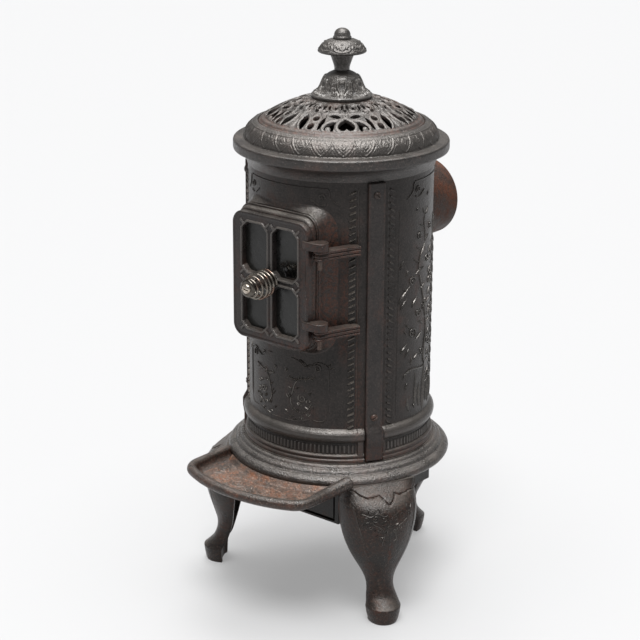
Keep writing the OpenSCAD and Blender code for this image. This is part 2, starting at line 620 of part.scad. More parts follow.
module latch_keeper() {
  color(iron_dark) at_axis() translate([-neck_in, -neck_face + 4, door_zc - 12]) cube([5.6, 4.8, 24]);
}

// ---------------------------------------------------------------- flue
module flue_collar() {
  color(rust) at_axis() difference() {
    union() {
      intersection() {
        translate([0, 0, flue_z - 80]) difference() {
          cylinder(r = barrel_r + 4.6, h = 160, $fn = 180);
          translate([0, 0, -1]) cylinder(r = barrel_r + 0.02, h = 162, $fn = 180);
        }
        translate([0, 60, flue_z]) rotate([-90, 0, 0]) cylinder(r = 72, h = 90, $fn = 96);
      }
      difference() {
        union() {
          translate([0, 100, flue_z]) rotate([-90, 0, 0]) cylinder(r = flue_r, h = flue_reach - 100, $fn = 96);
          // Thicker root that a stovepipe comes to rest against.
          translate([0, 100, flue_z]) rotate([-90, 0, 0]) cylinder(r = flue_r + 1.6, h = flue_reach - 163, $fn = 96);
        }
        translate([0, 0, flue_z - 80]) cylinder(r = barrel_r + 0.02, h = 160, $fn = 180);
      }
    }
    translate([0, 60, flue_z]) rotate([-90, 0, 0]) cylinder(r = flue_r - flue_wall, h = flue_reach, $fn = 96);
    flue_bolt_axes(2.7, 90, 135);
  }
}
module flue_bolts() {
  color(rust) at_axis() for (a = [45 : 90 : 315]) translate([62 * sin(a), 0, flue_z + 62 * cos(a)]) rotate([-90, 0, 0]) {
    // The flange curves, so each head stands on the height it has there.
    y = sqrt(pow(barrel_r + 4.6, 2) - pow(62 * sin(45) - 5, 2));
    translate([0, 0, y]) cylinder(r = 5, h = 3.4, $fn = 6);
    translate([0, 0, y - 21]) cylinder(r = 2.5, h = 22, $fn = 32);
  }
}

// ---------------------------------------------------------------- tie rods
module tie_rods() {
  color(steel) at_axis() for (a = rod_phis) at_phi(a) zrod(0, -rod_at, 3, base_z - 6.5, 595);
}
module tie_nuts() {
  color(steel) at_axis() for (a = rod_phis, z = [base_z - 5, 588]) translate([rod_at * sin(a), -rod_at * cos(a), z])
    difference() {
      translate([-5, -5, 0]) cube([10, 10, 5]);
      zrod(0, 0, 3.02, -1, 6);
    }
}

leg_right();
leg_left();
leg_rear();
leg_bolts();
leg_nuts();
base_plate();
hearth_tray();
hearth_screws();
ash_box();
box_screws();
ash_pan();
ash_pan_front();
ash_pan_pull();
fire_grate();
front_panel();
right_panel();
left_panel();
seam_strip_right();
seam_strip_left();
seam_strip_rear();
strip_screws();
top_rim();
inner_cover();
dome();
finial_bell();
finial_cup();
finial_cap();
finial_bead();
finial_rod();
door_frame();
mica_panes();
mica_retainer();
mica_screws();
hinge_arm_upper();
hinge_arm_lower();
hinge_screws();
hinge_pins();
handle_washers();
handle_spring();
handle_stud();
handle_screw();
latch_bar();
latch_nut();
latch_keeper();
flue_collar();
flue_bolts();
tie_rods();
tie_nuts();
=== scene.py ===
import bpy, json, math
import numpy as np
from mathutils import Matrix, Vector


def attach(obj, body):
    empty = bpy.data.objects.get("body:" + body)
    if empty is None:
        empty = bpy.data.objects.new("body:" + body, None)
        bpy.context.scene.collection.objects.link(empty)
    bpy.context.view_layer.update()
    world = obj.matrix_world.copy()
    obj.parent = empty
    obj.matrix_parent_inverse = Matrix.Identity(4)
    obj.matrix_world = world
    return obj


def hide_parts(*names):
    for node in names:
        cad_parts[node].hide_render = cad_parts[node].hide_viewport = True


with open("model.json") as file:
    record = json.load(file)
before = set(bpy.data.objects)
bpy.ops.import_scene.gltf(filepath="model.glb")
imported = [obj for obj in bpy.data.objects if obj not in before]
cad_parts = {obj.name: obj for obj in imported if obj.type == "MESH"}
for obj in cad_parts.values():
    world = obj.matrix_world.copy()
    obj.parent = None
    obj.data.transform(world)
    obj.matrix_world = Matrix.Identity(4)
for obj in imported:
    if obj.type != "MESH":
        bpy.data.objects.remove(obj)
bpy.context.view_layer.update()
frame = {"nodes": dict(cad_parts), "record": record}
NODES = frame["nodes"]
SLOTS = {s["node"]: s["material_slot"] for s in frame["record"].get("subparts", [])}
AY = 18.5          # the barrel's axis stands at y = +18.5 mm in the row frame
BODY_OF = {n: b for b, ns in frame["record"]["behaviour"]["bodies"].items() for n in ns}


# ------------------------------------------------------------------ helpers
def sstep(a, b, x):
    t = np.clip((x - a) / (b - a), 0.0, 1.0)
    return t * t * (3 - 2 * t)


def row(p):
    """Axis frame in millimetres to row frame in metres."""
    p = np.array(p, float)
    p[..., 1] += AY
    return p * 0.001


def make(name, verts_mm, quads, tris, body, mat, sharp=38.0, attrs=None, replaces=()):
    verts = row(verts_mm).reshape(-1, 3)
    quads = np.zeros((0, 4), np.int64) if quads is None else np.asarray(quads, np.int64).reshape(-1, 4)
    tris = np.zeros((0, 3), np.int64) if tris is None else np.asarray(tris, np.int64).reshape(-1, 3)
    c = verts.mean(0)
    p = verts - c
    vol = 0.0
    for f in (quads[:, :3], quads[:, [0, 2, 3]], tris):
        if len(f):
            vol += np.einsum("ij,ij->i", p[f[:, 0]], np.cross(p[f[:, 1]], p[f[:, 2]])).sum()
    if vol < 0:
        quads, tris = quads[:, ::-1], tris[:, ::-1]
    me = bpy.data.meshes.new(name)
    me.vertices.add(len(verts))
    me.vertices.foreach_set("co", verts.astype(np.float32).ravel())
    loops = np.concatenate([quads.ravel(), tris.ravel()])
    me.loops.add(len(loops))
    me.loops.foreach_set("vertex_index", loops.astype(np.int32))
    nq, nt = len(quads), len(tris)
    me.polygons.add(nq + nt)
    starts = np.concatenate([np.arange(nq) * 4, nq * 4 + np.arange(nt) * 3])
    me.polygons.foreach_set("loop_start", starts.astype(np.int32))
    me.update(calc_edges=True)
    me.validate()
    me.polygons.foreach_set("use_smooth", np.ones(len(me.polygons), bool))
    me.update()
    if sharp is not None:
        me.set_sharp_from_angle(angle=math.radians(sharp))
    for key, val in (attrs or {}).items():
        a = me.attributes.new(key, "FLOAT", "POINT")
        a.data.foreach_set("value", np.asarray(val, np.float32).ravel())
    me.materials.append(mat)
    ob = bpy.data.objects.new(name, me)
    bpy.context.scene.collection.objects.link(ob)
    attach(ob, body)
    if replaces:
        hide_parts(*replaces)
    return ob


def thicken(top, bot, quads, tris):
    """Closes a sheet: top and bottom points of equal count, top faces given counterclockwise from outside."""
    n = len(top)
    quads = np.asarray(quads, np.int64).reshape(-1, 4)
    tris = np.asarray(tris, np.int64).reshape(-1, 3)
    e = np.concatenate([quads[:, [0, 1]], quads[:, [1, 2]], quads[:, [2, 3]], quads[:, [3, 0]],
                        tris[:, [0, 1]], tris[:, [1, 2]], tris[:, [2, 0]]])
    key = e[:, 0] * n + e[:, 1]
    rev = e[:, 1] * n + e[:, 0]
    open_ = e[~np.isin(key, rev)]
    walls = np.stack([open_[:, 1], open_[:, 0], open_[:, 0] + n, open_[:, 1] + n], 1)
    q = np.concatenate([quads, quads[:, ::-1] + n, walls])
    t = np.concatenate([tris, tris[:, ::-1] + n])
    v = np.concatenate([top, bot])
    used = np.zeros(2 * n, bool)
    used[q.ravel()] = True
    used[t.ravel()] = True
    new = np.cumsum(used) - 1
    return v[used], new[q], new[t], used


def clip_grid(f, arrays, wrap=False):
    """Marching squares on a grid. f > 0 is material; arrays are (ni, nj, k) point data carried along.
    Returns the points of each array, quads and triangles, counterclockwise in (i, j) order."""
    ni, nj = f.shape
    f = np.where(np.abs(f) < 1e-6, 1e-6, f)
    inside = f > 0
    flat = [a.reshape(ni * nj, -1) for a in arrays]
    ids = np.arange(ni * nj).reshape(ni, nj)
    out = [[a] for a in flat]
    count = ni * nj
    cross = {}

    def crossing(i0, j0, i1, j1):
        nonlocal count
        pts, a, b = [], ids[i0, j0], ids[i1, j1]
        t = (f[i0, j0] / (f[i0, j0] - f[i1, j1]))
        t = np.clip(t, 0.04, 0.96)[:, None]
        for k, arr in enumerate(flat):
            out[k].append(arr[a] * (1 - t) + arr[b] * t)
        new = np.arange(count, count + len(a))
        count += len(a)
        return new

    # crossings on edges along i
    hi = np.full((ni, nj), -1, np.int64)
    ii, jj = np.nonzero(inside[:-1] != inside[1:])
    if len(ii):
        hi[ii, jj] = crossing(ii, jj, ii + 1, jj)
    hj = np.full((ni, nj), -1, np.int64)
    right = np.roll(inside, -1, 1) if wrap else None
    if wrap:
        ii, jj = np.nonzero(inside != right)
        if len(ii):
            hj[ii, jj] = crossing(ii, jj, ii, (jj + 1) % nj)
        j0 = np.arange(nj)
    else:
        ii, jj = np.nonzero(inside[:, :-1] != inside[:, 1:])
        if len(ii):
            hj[ii, jj] = crossing(ii, jj, ii, jj + 1)
        j0 = np.arange(nj - 1)
    j1 = (j0 + 1) % nj
    I, J = np.meshgrid(np.arange(ni - 1), j0, indexing="ij")
    J1 = np.broadcast_to(j1, J.shape)
    c = [inside[I, J], inside[I + 1, J], inside[I + 1, J1], inside[I, J1]]
    code = c[0] * 1 + c[1] * 2 + c[2] * 4 + c[3] * 8
    full = code == 15
    quads = np.stack([ids[I, J][full], ids[I + 1, J][full], ids[I + 1, J1][full], ids[I, J1][full]], 1)
    tris, extra = [], []
    for a, b in zip(*np.nonzero((code > 0) & (code < 15))):
        i, j, k = I[a, b], J[a, b], J1[a, b]
        cn = [ids[i, j], ids[i + 1, j], ids[i + 1, k], ids[i, k]]
        ins = [inside[i, j], inside[i + 1, j], inside[i + 1, k], inside[i, k]]
        ed = [hi[i, j], hj[i + 1, j], hi[i, k], hj[i, j]]
        poly = []
        if code[a, b] in (5, 10) and (f[i, j] + f[i + 1, j] + f[i + 1, k] + f[i, k]) < 0:
            for m in range(4):
                if ins[m]:
                    tris.append((ed[m - 1], cn[m], ed[m]))
            continue
        for m in range(4):
            if ins[m]:
                poly.append(cn[m])
            if ed[m] >= 0:
                poly.append(ed[m])
        if len(poly) == 4:
            extra.append(poly)
        elif len(poly) == 3:
            tris.append(tuple(poly))
        else:
            for m in range(1, len(poly) - 1):
                tris.append((poly[0], poly[m], poly[m + 1]))
    if extra:
        quads = np.concatenate([quads, np.array(extra, np.int64)])
    tris = np.array(tris, np.int64).reshape(-1, 3)
    return [np.concatenate(o) for o in out], quads, tris


def sheet(name, f, top, bot, body, mat, wrap=False, flip=False, attrs=None, replaces=(), sharp=38.0):
    """A pierced or outlined plate: f on a grid, top and bottom points on the same grid."""
    keys = list((attrs or {}))
    arr = [top, bot] + [np.asarray(attrs[k])[..., None] for k in keys]
    pts, quads, tris = clip_grid(f, arr, wrap)
    if flip:
        quads, tris = quads[:, ::-1], tris[:, ::-1]
    v, q, t, used = thicken(pts[0], pts[1], quads, tris)
    at = {k: np.concatenate([pts[2 + m][:, 0], pts[2 + m][:, 0]])[used] for m, k in enumerate(keys)}
    return make(name, v, q, t, body, mat, sharp, at, replaces)


def grid_shell(name, top, bot, body, mat, wrap=False, flip=False, attrs=None, replaces=(), mask=None, sharp=38.0):
    """A thick grid: top and bottom points (ni, nj, 3); mask (ni-1, nj or nj-1) of kept cells."""
    ni, nj = top.shape[:2]
    ids = np.arange(ni * nj).reshape(ni, nj)
    j = np.arange(nj if wrap else nj - 1)
    a, b = ids[:-1][:, j], ids[1:][:, j]
    c, d = ids[1:][:, (j + 1) % nj], ids[:-1][:, (j + 1) % nj]
    q = np.stack([a, b, c, d], -1)
    q = q[mask] if mask is not None else q.reshape(-1, 4)
    if flip:
        q = q[:, ::-1]
    v, q, t, used = thicken(top.reshape(-1, 3), bot.reshape(-1, 3), q, np.zeros((0, 3), np.int64))
    at = {k: np.concatenate([x.ravel(), x.ravel()])[used] for k, x in (attrs or {}).items()}
    return make(name, v, q, t, body, mat, sharp, at, replaces)


def refine(profile, step, closed=True):
    """Profile points no further apart than step."""
    out = []
    n = len(profile)
    for k in range(n if closed else n - 1):
        a, b = np.array(profile[k], float), np.array(profile[(k + 1) % n], float)
        m = max(1, int(math.ceil(np.linalg.norm(b - a) / step)))
        for i in range(m):
            out.append(a + (b - a) * i / m)
    if not closed:
        out.append(np.array(profile[-1], float))
    return np.array(out)


def smooth_profile(pts, step, passes=2, hold=30.0):
    """Open profile resampled evenly and relaxed, so that turned corners are slightly round."""
    p = refine(pts, step, closed=False)
    for _ in range(passes):
        q = p.copy()
        q[1:-1] = (p[:-2] + 2 * p[1:-1] + p[2:]) / 4
        p = q
    return p


def revolve(name, outer, inner, nseg, body, mat, relief=None, replaces=(), sharp=42.0, attrs=None):
    """outer: open profile (r, z) from bottom to top that is seen; inner: open profile from top back to bottom.
    relief(phi, s, r, z) gives millimetres along the profile's normal, on the outer part."""
    outer, inner = np.asarray(outer, float), np.asarray(inner, float)
    phi = np.arange(nseg) * 2 * math.pi / nseg
    d = np.gradient(outer, axis=0)
    nr = np.stack([d[:, 1], -d[:, 0]], 1)
    nr /= np.maximum(np.linalg.norm(nr, axis=1, keepdims=True), 1e-9)
    s = np.concatenate([[0], np.cumsum(np.linalg.norm(np.diff(outer, axis=0), axis=1))])
    P, S = np.meshgrid(phi, s, indexing="xy")          # (n, nseg)
    R = np.broadcast_to(outer[:, :1], P.shape)
    Z = np.broadcast_to(outer[:, 1:], P.shape)
    h = np.zeros_like(P) if relief is None else relief(P, S, R, Z)
    r = R + nr[:, :1] * h
    z = Z + nr[:, 1:] * h
    ri = np.broadcast_to(inner[:, :1], (len(inner), nseg))
    zi = np.broadcast_to(inner[:, 1:], (len(inner), nseg))
    Pi = np.broadcast_to(phi, (len(inner), nseg))
    r, z, P = np.concatenate([r, ri]), np.concatenate([z, zi]), np.concatenate([P, Pi])
    hh = np.concatenate([h, np.zeros((len(inner), nseg))])
    v = np.stack([r * np.sin(P), -r * np.cos(P), z], -1)
    n = len(v)
    ids = np.arange(n * nseg).reshape(n, nseg)
    nxt = np.roll(ids, -1, 1)
    up = np.roll(ids, -1, 0)
    upn = np.roll(nxt, -1, 0)
    q = np.stack([ids, nxt, upn, up], -1).reshape(-1, 4)
    at = {"relief": hh.ravel()}
    if attrs:
        at.update(attrs)
    return make(name, v.reshape(-1, 3), q, None, body, mat, sharp, at, replaces)


class Relief:
    """Raised and sunk drawing on a flat field of points (u, v), in millimetres."""

    def __init__(self, U, V):
        self.U, self.V = U, V
        self.H = np.zeros_like(U)

    def _box(self, lo, hi, m):
        return np.nonzero((self.U > lo[0] - m) & (self.U < hi[0] + m) & (self.V > lo[1] - m) & (self.V < hi[1] + m))

    def _dist(self, u, v, pts):
        best = np.full(u.shape, 1e9)
        tt = np.zeros(u.shape)
        seg = np.linalg.norm(np.diff(pts, axis=0), axis=1)
        total = max(seg.sum(), 1e-9)
        run = 0.0
        for k in range(len(pts) - 1):
            a, b = pts[k], pts[k + 1]
            ab = b - a
            L2 = max((ab * ab).sum(), 1e-12)
            t = np.clip(((u - a[0]) * ab[0] + (v - a[1]) * ab[1]) / L2, 0, 1)
            d = np.hypot(u - a[0] - t * ab[0], v - a[1] - t * ab[1])
            m = d < best
            best[m] = d[m]
            tt[m] = (run + t[m] * seg[k]) / total
            run += seg[k]
        return best, tt

    def stroke(self, pts, w, h, taper=0.0, mode="max"):
        """Half-round cord of half width w and height h along pts; taper thins it towards its end."""
        pts = np.asarray(pts, float)
        idx = self._box(pts.min(0), pts.max(0), w)
        if not len(idx[0]):
            return
        d, t = self._dist(self.U[idx], self.V[idx], pts)
        ww = w * (1 - taper * t)
        x = np.clip(d / ww, 0, 1)
        val = h * (1 - x * x) ** 0.75 * (1 - 0.4 * taper * t)
        val[d >= ww] = 0
        if mode == "max":
            self.H[idx] = np.maximum(self.H[idx], val)
        elif mode == "add":
            self.H[idx] += val
        else:
            self.H[idx] = np.minimum(self.H[idx], -val)

    def leaf(self, base, tip, w, h, bend=0.0, vein=0.35, belly=0.42):
        """Pointed leaf with a sunk midrib from base to tip."""
        base, tip = np.array(base, float), np.array(tip, float)
        L = np.linalg.norm(tip - base)
        ax = (tip - base) / L
        no = np.array([-ax[1], ax[0]])
        m = w + abs(bend) + 1
        idx = self._box(np.minimum(base, tip), np.maximum(base, tip), m)
        if not len(idx[0]):
            return
        du, dv = self.U[idx] - base[0], self.V[idx] - base[1]
        t = (du * ax[0] + dv * ax[1]) / L
        s = du * no[0] + dv * no[1] - bend * np.sin(np.pi * np.clip(t, 0, 1))
        ok = (t > 0) & (t < 1)
        prof = np.where(ok, w * (np.clip(t, 0, 1) ** belly) * (1 - np.clip(t, 0, 1)) ** 0.75 * 1.75, 1e-6)
        prof = np.minimum(prof, w)
        x = np.abs(s) / np.maximum(prof, 1e-6)
        val = np.where(ok & (x < 1), h * (1 - np.clip(x, 0, 1) ** 2) ** 0.6, 0)
        groove = vein * h * np.exp(-(s / (0.16 * w + 0.2)) ** 2) * (val > 0)
        self.H[idx] = np.maximum(self.H[idx], val - groove)

    def knob(self, c, r, h):
        c = np.array(c, float)
        idx = self._box(c, c, r)
        if not len(idx[0]):
            return
        d = np.hypot(self.U[idx] - c[0], self.V[idx] - c[1]) / r
        self.H[idx] = np.maximum(self.H[idx], np.where(d < 1, h * np.sqrt(1 - np.clip(d, 0, 1) ** 2), 0))

    def ring(self, c, r, w, h):
        a = np.linspace(0, 2 * np.pi, 33)
        self.stroke(np.stack([c[0] + r * np.cos(a), c[1] + r * np.sin(a)], 1), w, h)


class Ornament:
    """Cords, leaves, teeth and knobs laid on a surface that place(u, v, h) gives in millimetres."""

    def __init__(self, place):
        self.place, self.V, self.Q, self.T, self.R, self.n = place, [], [], [], [], 0

    def _add(self, p, quads, tris):
        quads = np.asarray(quads, np.int64).reshape(-1, 4)
        tris = np.asarray(tris, np.int64).reshape(-1, 3)
        c = p - p.mean(0)
        vol = sum(np.einsum("ij,ij->i", c[f[:, 0]], np.cross(c[f[:, 1]], c[f[:, 2]])).sum() for f in (quads[:, :3], quads[:, [0, 2, 3]], tris) if len(f))
        if vol < 0:
            quads, tris = quads[:, ::-1], tris[:, ::-1]
        self.V.append(self.place(p[:, 0], p[:, 1], p[:, 2]))
        self.R.append(np.clip(p[:, 2], 0, 2) * 0.6)
        self.Q.append(quads + self.n)
        self.T.append(tris + self.n)
        self.n += len(p)

    def _strip(self, rows):
        """Closed skin over rows of equal length, ends drawn together."""
        k, m = len(rows), len(rows[0])
        p = np.concatenate([np.concatenate(rows), rows[0].mean(0)[None], rows[-1].mean(0)[None]])
        ids = np.arange(k * m).reshape(k, m)
        q = np.stack([ids[:-1], np.roll(ids, -1, 1)[:-1], np.roll(ids, -1, 1)[1:], ids[1:]], -1).reshape(-1, 4)
        t = [(k * m, ids[0, (j + 1) % m], ids[0, j]) for j in range(m)] + [(k * m + 1, ids[-1, j], ids[-1, (j + 1) % m]) for j in range(m)]
        self._add(p, q, t)

    def cord(self, pts, w, h, t0=0.2, t1=0.2, step=1.1, sink=0.3):
        pts = np.asarray(pts, float)
        s = np.concatenate([[0], np.cumsum(np.linalg.norm(np.diff(pts, axis=0), axis=1))])
        n = max(4, int(s[-1] / step))
        q = np.linspace(0, s[-1], n + 1)
        P = np.stack([np.interp(q, s, pts[:, 0]), np.interp(q, s, pts[:, 1])], 1)
        P[1:-1] = (P[:-2] + 2 * P[1:-1] + P[2:]) / 4
        T = np.gradient(P, axis=0)
        T /= np.maximum(np.linalg.norm(T, axis=1, keepdims=True), 1e-9)
        N = np.stack([-T[:, 1], T[:, 0]], 1)
        f = q / s[-1]
        k = np.clip(np.minimum(f / max(t0, 1e-3), (1 - f) / max(t1, 1e-3)), 0, 1)
        k = 0.22 + 0.78 * np.sin(k * math.pi / 2)
        cx = np.array([1.0, 0.96, 0.66, 0.0, -0.66, -0.96, -1.0])
        cz = np.array([-1.0, 0.2, 0.78, 1.0, 0.78, 0.2, -1.0])
        rows = []
        for i in range(n + 1):
            z = np.where(cz < 0, -sink, cz * h * k[i])
            rows.append(np.concatenate([P[i] + N[i] * (cx * w * k[i])[:, None], z[:, None]], 1))
        self._strip(rows)

    def leaf(self, a, b, w, h, bend=0.0, n=8, sink=0.3, fold=0.45):
        a, b = np.array(a, float), np.array(b, float)
        L = np.linalg.norm(b - a)
        ax = (b - a) / L
        no = np.array([-ax[1], ax[0]])
        rows = []
        for t in np.linspace(0.02, 0.98, n):
            c = a + ax * L * t + no * bend * math.sin(math.pi * t)
            k = math.sin(math.pi * t ** 0.75) ** 0.8
            cx = np.array([1.0, 0.5, 0.0, -0.5, -1.0]) * w * max(k, 0.08)
            cz = np.array([0.05, 1.0, fold, 1.0, 0.05]) * h * max(k, 0.1)
            top = np.concatenate([c + no * cx[:, None], cz[:, None]], 1)
            bot = np.concatenate([c + no * cx[[4, 0], None], np.full((2, 1), -sink)], 1)
            rows.append(np.concatenate([top, bot]))
        self._strip(rows)

    def tooth(self, tri, h, inset=0.45, sink=0.5):
        tri = np.asarray(tri, float)
        c = tri.mean(0)
        lo = np.concatenate([tri, np.full((3, 1), -sink)], 1)
        mid = np.concatenate([c + (tri - c) * 0.98, np.full((3, 1), 0.12 * h)], 1)
        up = np.concatenate([c + (tri - c) * inset, np.full((3, 1), h)], 1)
        self._strip([lo, mid, up])

    def wedge(self, a, b, up, down, h, sink=0.5):
        """Sharp-backed ridge from a to b, rising toward b, steep above and below its crest."""
        a, b = np.array(a, float), np.array(b, float)
        rows = []
        for t, k in ((0.0, 0.35), (0.15, 0.6), (0.4, 0.85), (0.8, 1.0), (1.0, 0.95)):
            c = a + (b - a) * t
            zz = np.array([up * 1.05, up, 0.28, -0.28, -down, -down * 1.05]) * (0.55 + 0.45 * k)
            hh = np.array([-sink, 0.02, h * k, h * k, 0.02, -sink])
            rows.append(np.stack([np.full(6, c[0]), c[1] + zz, hh], 1))
        self._strip(rows)

    def knob(self, c, r, h, sink=0.3, m=12):
        a = np.arange(m) * 2 * math.pi / m
        rows = [np.stack([c[0] + r * np.cos(a), c[1] + r * np.sin(a), np.full(m, -sink)], 1)]
        for e in (5, 30, 55, 78):
            k = math.cos(math.radians(e))
            rows.append(np.stack([c[0] + r * k * np.cos(a), c[1] + r * k * np.sin(a), np.full(m, h * math.sin(math.radians(e)))], 1))
        self._strip(rows)

    def build(self, name, body, slot, mat, tint=0.0, sharp=35.0):
        R = np.concatenate(self.R)
        return make(name, np.concatenate(self.V), np.concatenate(self.Q), np.concatenate(self.T), body, mat, sharp,
                    {"relief": R, "tint": np.full(len(R), float(tint))})


def spiral(c, r0, r1, a0, turns, n=26):
    """Spiral from radius r0 at angle a0 (degrees) winding by turns to radius r1."""
    t = np.linspace(0, 1, n)
    r = r0 + (r1 - r0) * t ** 0.8
    a = np.radians(a0) + turns * 2 * np.pi * t
    return np.stack([c[0] + r * np.cos(a), c[1] + r * np.sin(a)], 1)


def bezier(*p, n=18):
    p = [np.array(x, float) for x in p]
    t = np.linspace(0, 1, n)[:, None]
    if len(p) == 3:
        return (1 - t) ** 2 * p[0] + 2 * t * (1 - t) * p[1] + t * t * p[2]
    return (1 - t) ** 3 * p[0] + 3 * t * (1 - t) ** 2 * p[1] + 3 * t * t * (1 - t) * p[2] + t ** 3 * p[3]


def value_noise(x, y, z, seed=0):
    """Smooth noise in -1..1 from hashed lattice points."""
    def h(i, j, k):
        n = (i * 374761393 + j * 668265263 + k * 2147483647 + seed * 974634777) & 0xFFFFFFFF
        n = ((n ^ (n >> 13)) * 1274126177) & 0xFFFFFFFF
        return ((n ^ (n >> 16)) & 0xFFFF) / 32767.5 - 1.0
    xi, yi, zi = np.floor(x).astype(np.int64), np.floor(y).astype(np.int64), np.floor(z).astype(np.int64)
    fx, fy, fz = x - xi, y - yi, z - zi
    fx, fy, fz = fx * fx * (3 - 2 * fx), fy * fy * (3 - 2 * fy), fz * fz * (3 - 2 * fz)
    out = 0
    for a in (0, 1):
        for b in (0, 1):
            for c in (0, 1):
                w = (fx if a else 1 - fx) * (fy if b else 1 - fy) * (fz if c else 1 - fz)
                out = out + w * h(xi + a, yi + b, zi + c)
    return out


def casting(x, y, z, seed=0):
    """Slight unevenness of cast iron, in millimetres."""
    return 0.10 * value_noise(x / 23, y / 23, z / 23, seed) + 0.035 * value_noise(x / 5.1, y / 5.1, z / 5.1, seed + 1)


# ------------------------------------------------------------------ materials
class Net:
    def __init__(self, name):
        self.m = bpy.data.materials.new(name)
        self.m.use_nodes = True
        self.t = self.m.node_tree
        self.t.nodes.clear()
        self.out = self.t.nodes.new("ShaderNodeOutputMaterial")
        self.b = self.t.nodes.new("ShaderNodeBsdfPrincipled")
        self.t.links.new(self.b.outputs[0], self.out.inputs["Surface"])
        self.co = self.t.nodes.new("ShaderNodeTexCoord").outputs["Object"]

    def link(self, a, b):
        self.t.links.new(a, b)

    def noise(self, scale, detail=4.0, rough=0.55, seed=0.0, stretch=None, distort=0.0):
        src = self.co
        m = self.t.nodes.new("ShaderNodeMapping")
        m.inputs["Location"].default_value = (seed * 1.37, seed * 0.71, seed * 2.13)
        if stretch:
            m.inputs["Scale"].default_value = stretch
        self.link(src, m.inputs["Vector"])
        n = self.t.nodes.new("ShaderNodeTexNoise")
        n.inputs["Scale"].default_value = scale
        n.inputs["Detail"].default_value = detail
        n.inputs["Roughness"].default_value = rough
        n.inputs["Distortion"].default_value = distort
        self.link(m.outputs[0], n.inputs["Vector"])
        return n.outputs["Fac"]

    def voronoi(self, scale, seed=0.0, feature="F1"):
        m = self.t.nodes.new("ShaderNodeMapping")
        m.inputs["Location"].default_value = (seed * 1.1, seed * 0.3, seed * 0.9)
        self.link(self.co, m.inputs["Vector"])
        n = self.t.nodes.new("ShaderNodeTexVoronoi")
        n.feature = feature
        n.inputs["Scale"].default_value = scale
        self.link(m.outputs[0], n.inputs["Vector"])
        return n.outputs["Distance"]

    def rng(self, src, a, b, c=0.0, d=1.0, smooth=True):
        n = self.t.nodes.new("ShaderNodeMapRange")
        n.interpolation_type = "SMOOTHSTEP" if smooth else "LINEAR"
        n.inputs["From Min"].default_value = a
        n.inputs["From Max"].default_value = b
        n.inputs["To Min"].default_value = c
        n.inputs["To Max"].default_value = d
        self.link(src, n.inputs["Value"])
        return n.outputs["Result"]

    def math(self, op, a, b=None, clamp=False):
        n = self.t.nodes.new("ShaderNodeMath")
        n.operation = op
        n.use_clamp = clamp
        for k, x in enumerate((a, b)):
            if x is None:
                continue
            if isinstance(x, (int, float)):
                n.inputs[k].default_value = x
            else:
                self.link(x, n.inputs[k])
        return n.outputs[0]

    def mix(self, fac, a, b):
        n = self.t.nodes.new("ShaderNodeMix")
        n.data_type = "RGBA"
        for sock, x in ((n.inputs[0], fac), (n.inputs[6], a), (n.inputs[7], b)):
            if isinstance(x, (int, float)):
                sock.default_value = x
            elif isinstance(x, tuple):
                sock.default_value = (*x, 1.0)
            else:
                self.link(x, sock)
        return n.outputs[2]

    def attr(self, name):
        n = self.t.nodes.new("ShaderNodeAttribute")
        n.attribute_type = "GEOMETRY"
        n.attribute_name = name
        return n.outputs["Fac"]

    def height_z(self):
        n = self.t.nodes.new("ShaderNodeSeparateXYZ")
        self.link(self.co, n.inputs[0])
        return n.outputs

    def up(self):
        g = self.t.nodes.new("ShaderNodeNewGeometry")
        n = self.t.nodes.new("ShaderNodeSeparateXYZ")
        self.link(g.outputs["Normal"], n.inputs[0])
        return n.outputs["Z"]

    def bump(self, height, strength, dist, prev=None):
        n = self.t.nodes.new("ShaderNodeBump")
        n.inputs["Strength"].default_value = strength
        n.inputs["Distance"].default_value = dist
        self.link(height, n.inputs["Height"])
        if prev is not None:
            self.link(prev, n.inputs["Normal"])
        return n.outputs["Normal"]


def lin(r, g, b):
    f = lambda c: ((c / 255 + 0.055) / 1.055) ** 2.4 if c > 10.3 else c / 255 / 12.92
    return (f(r), f(g), f(b))


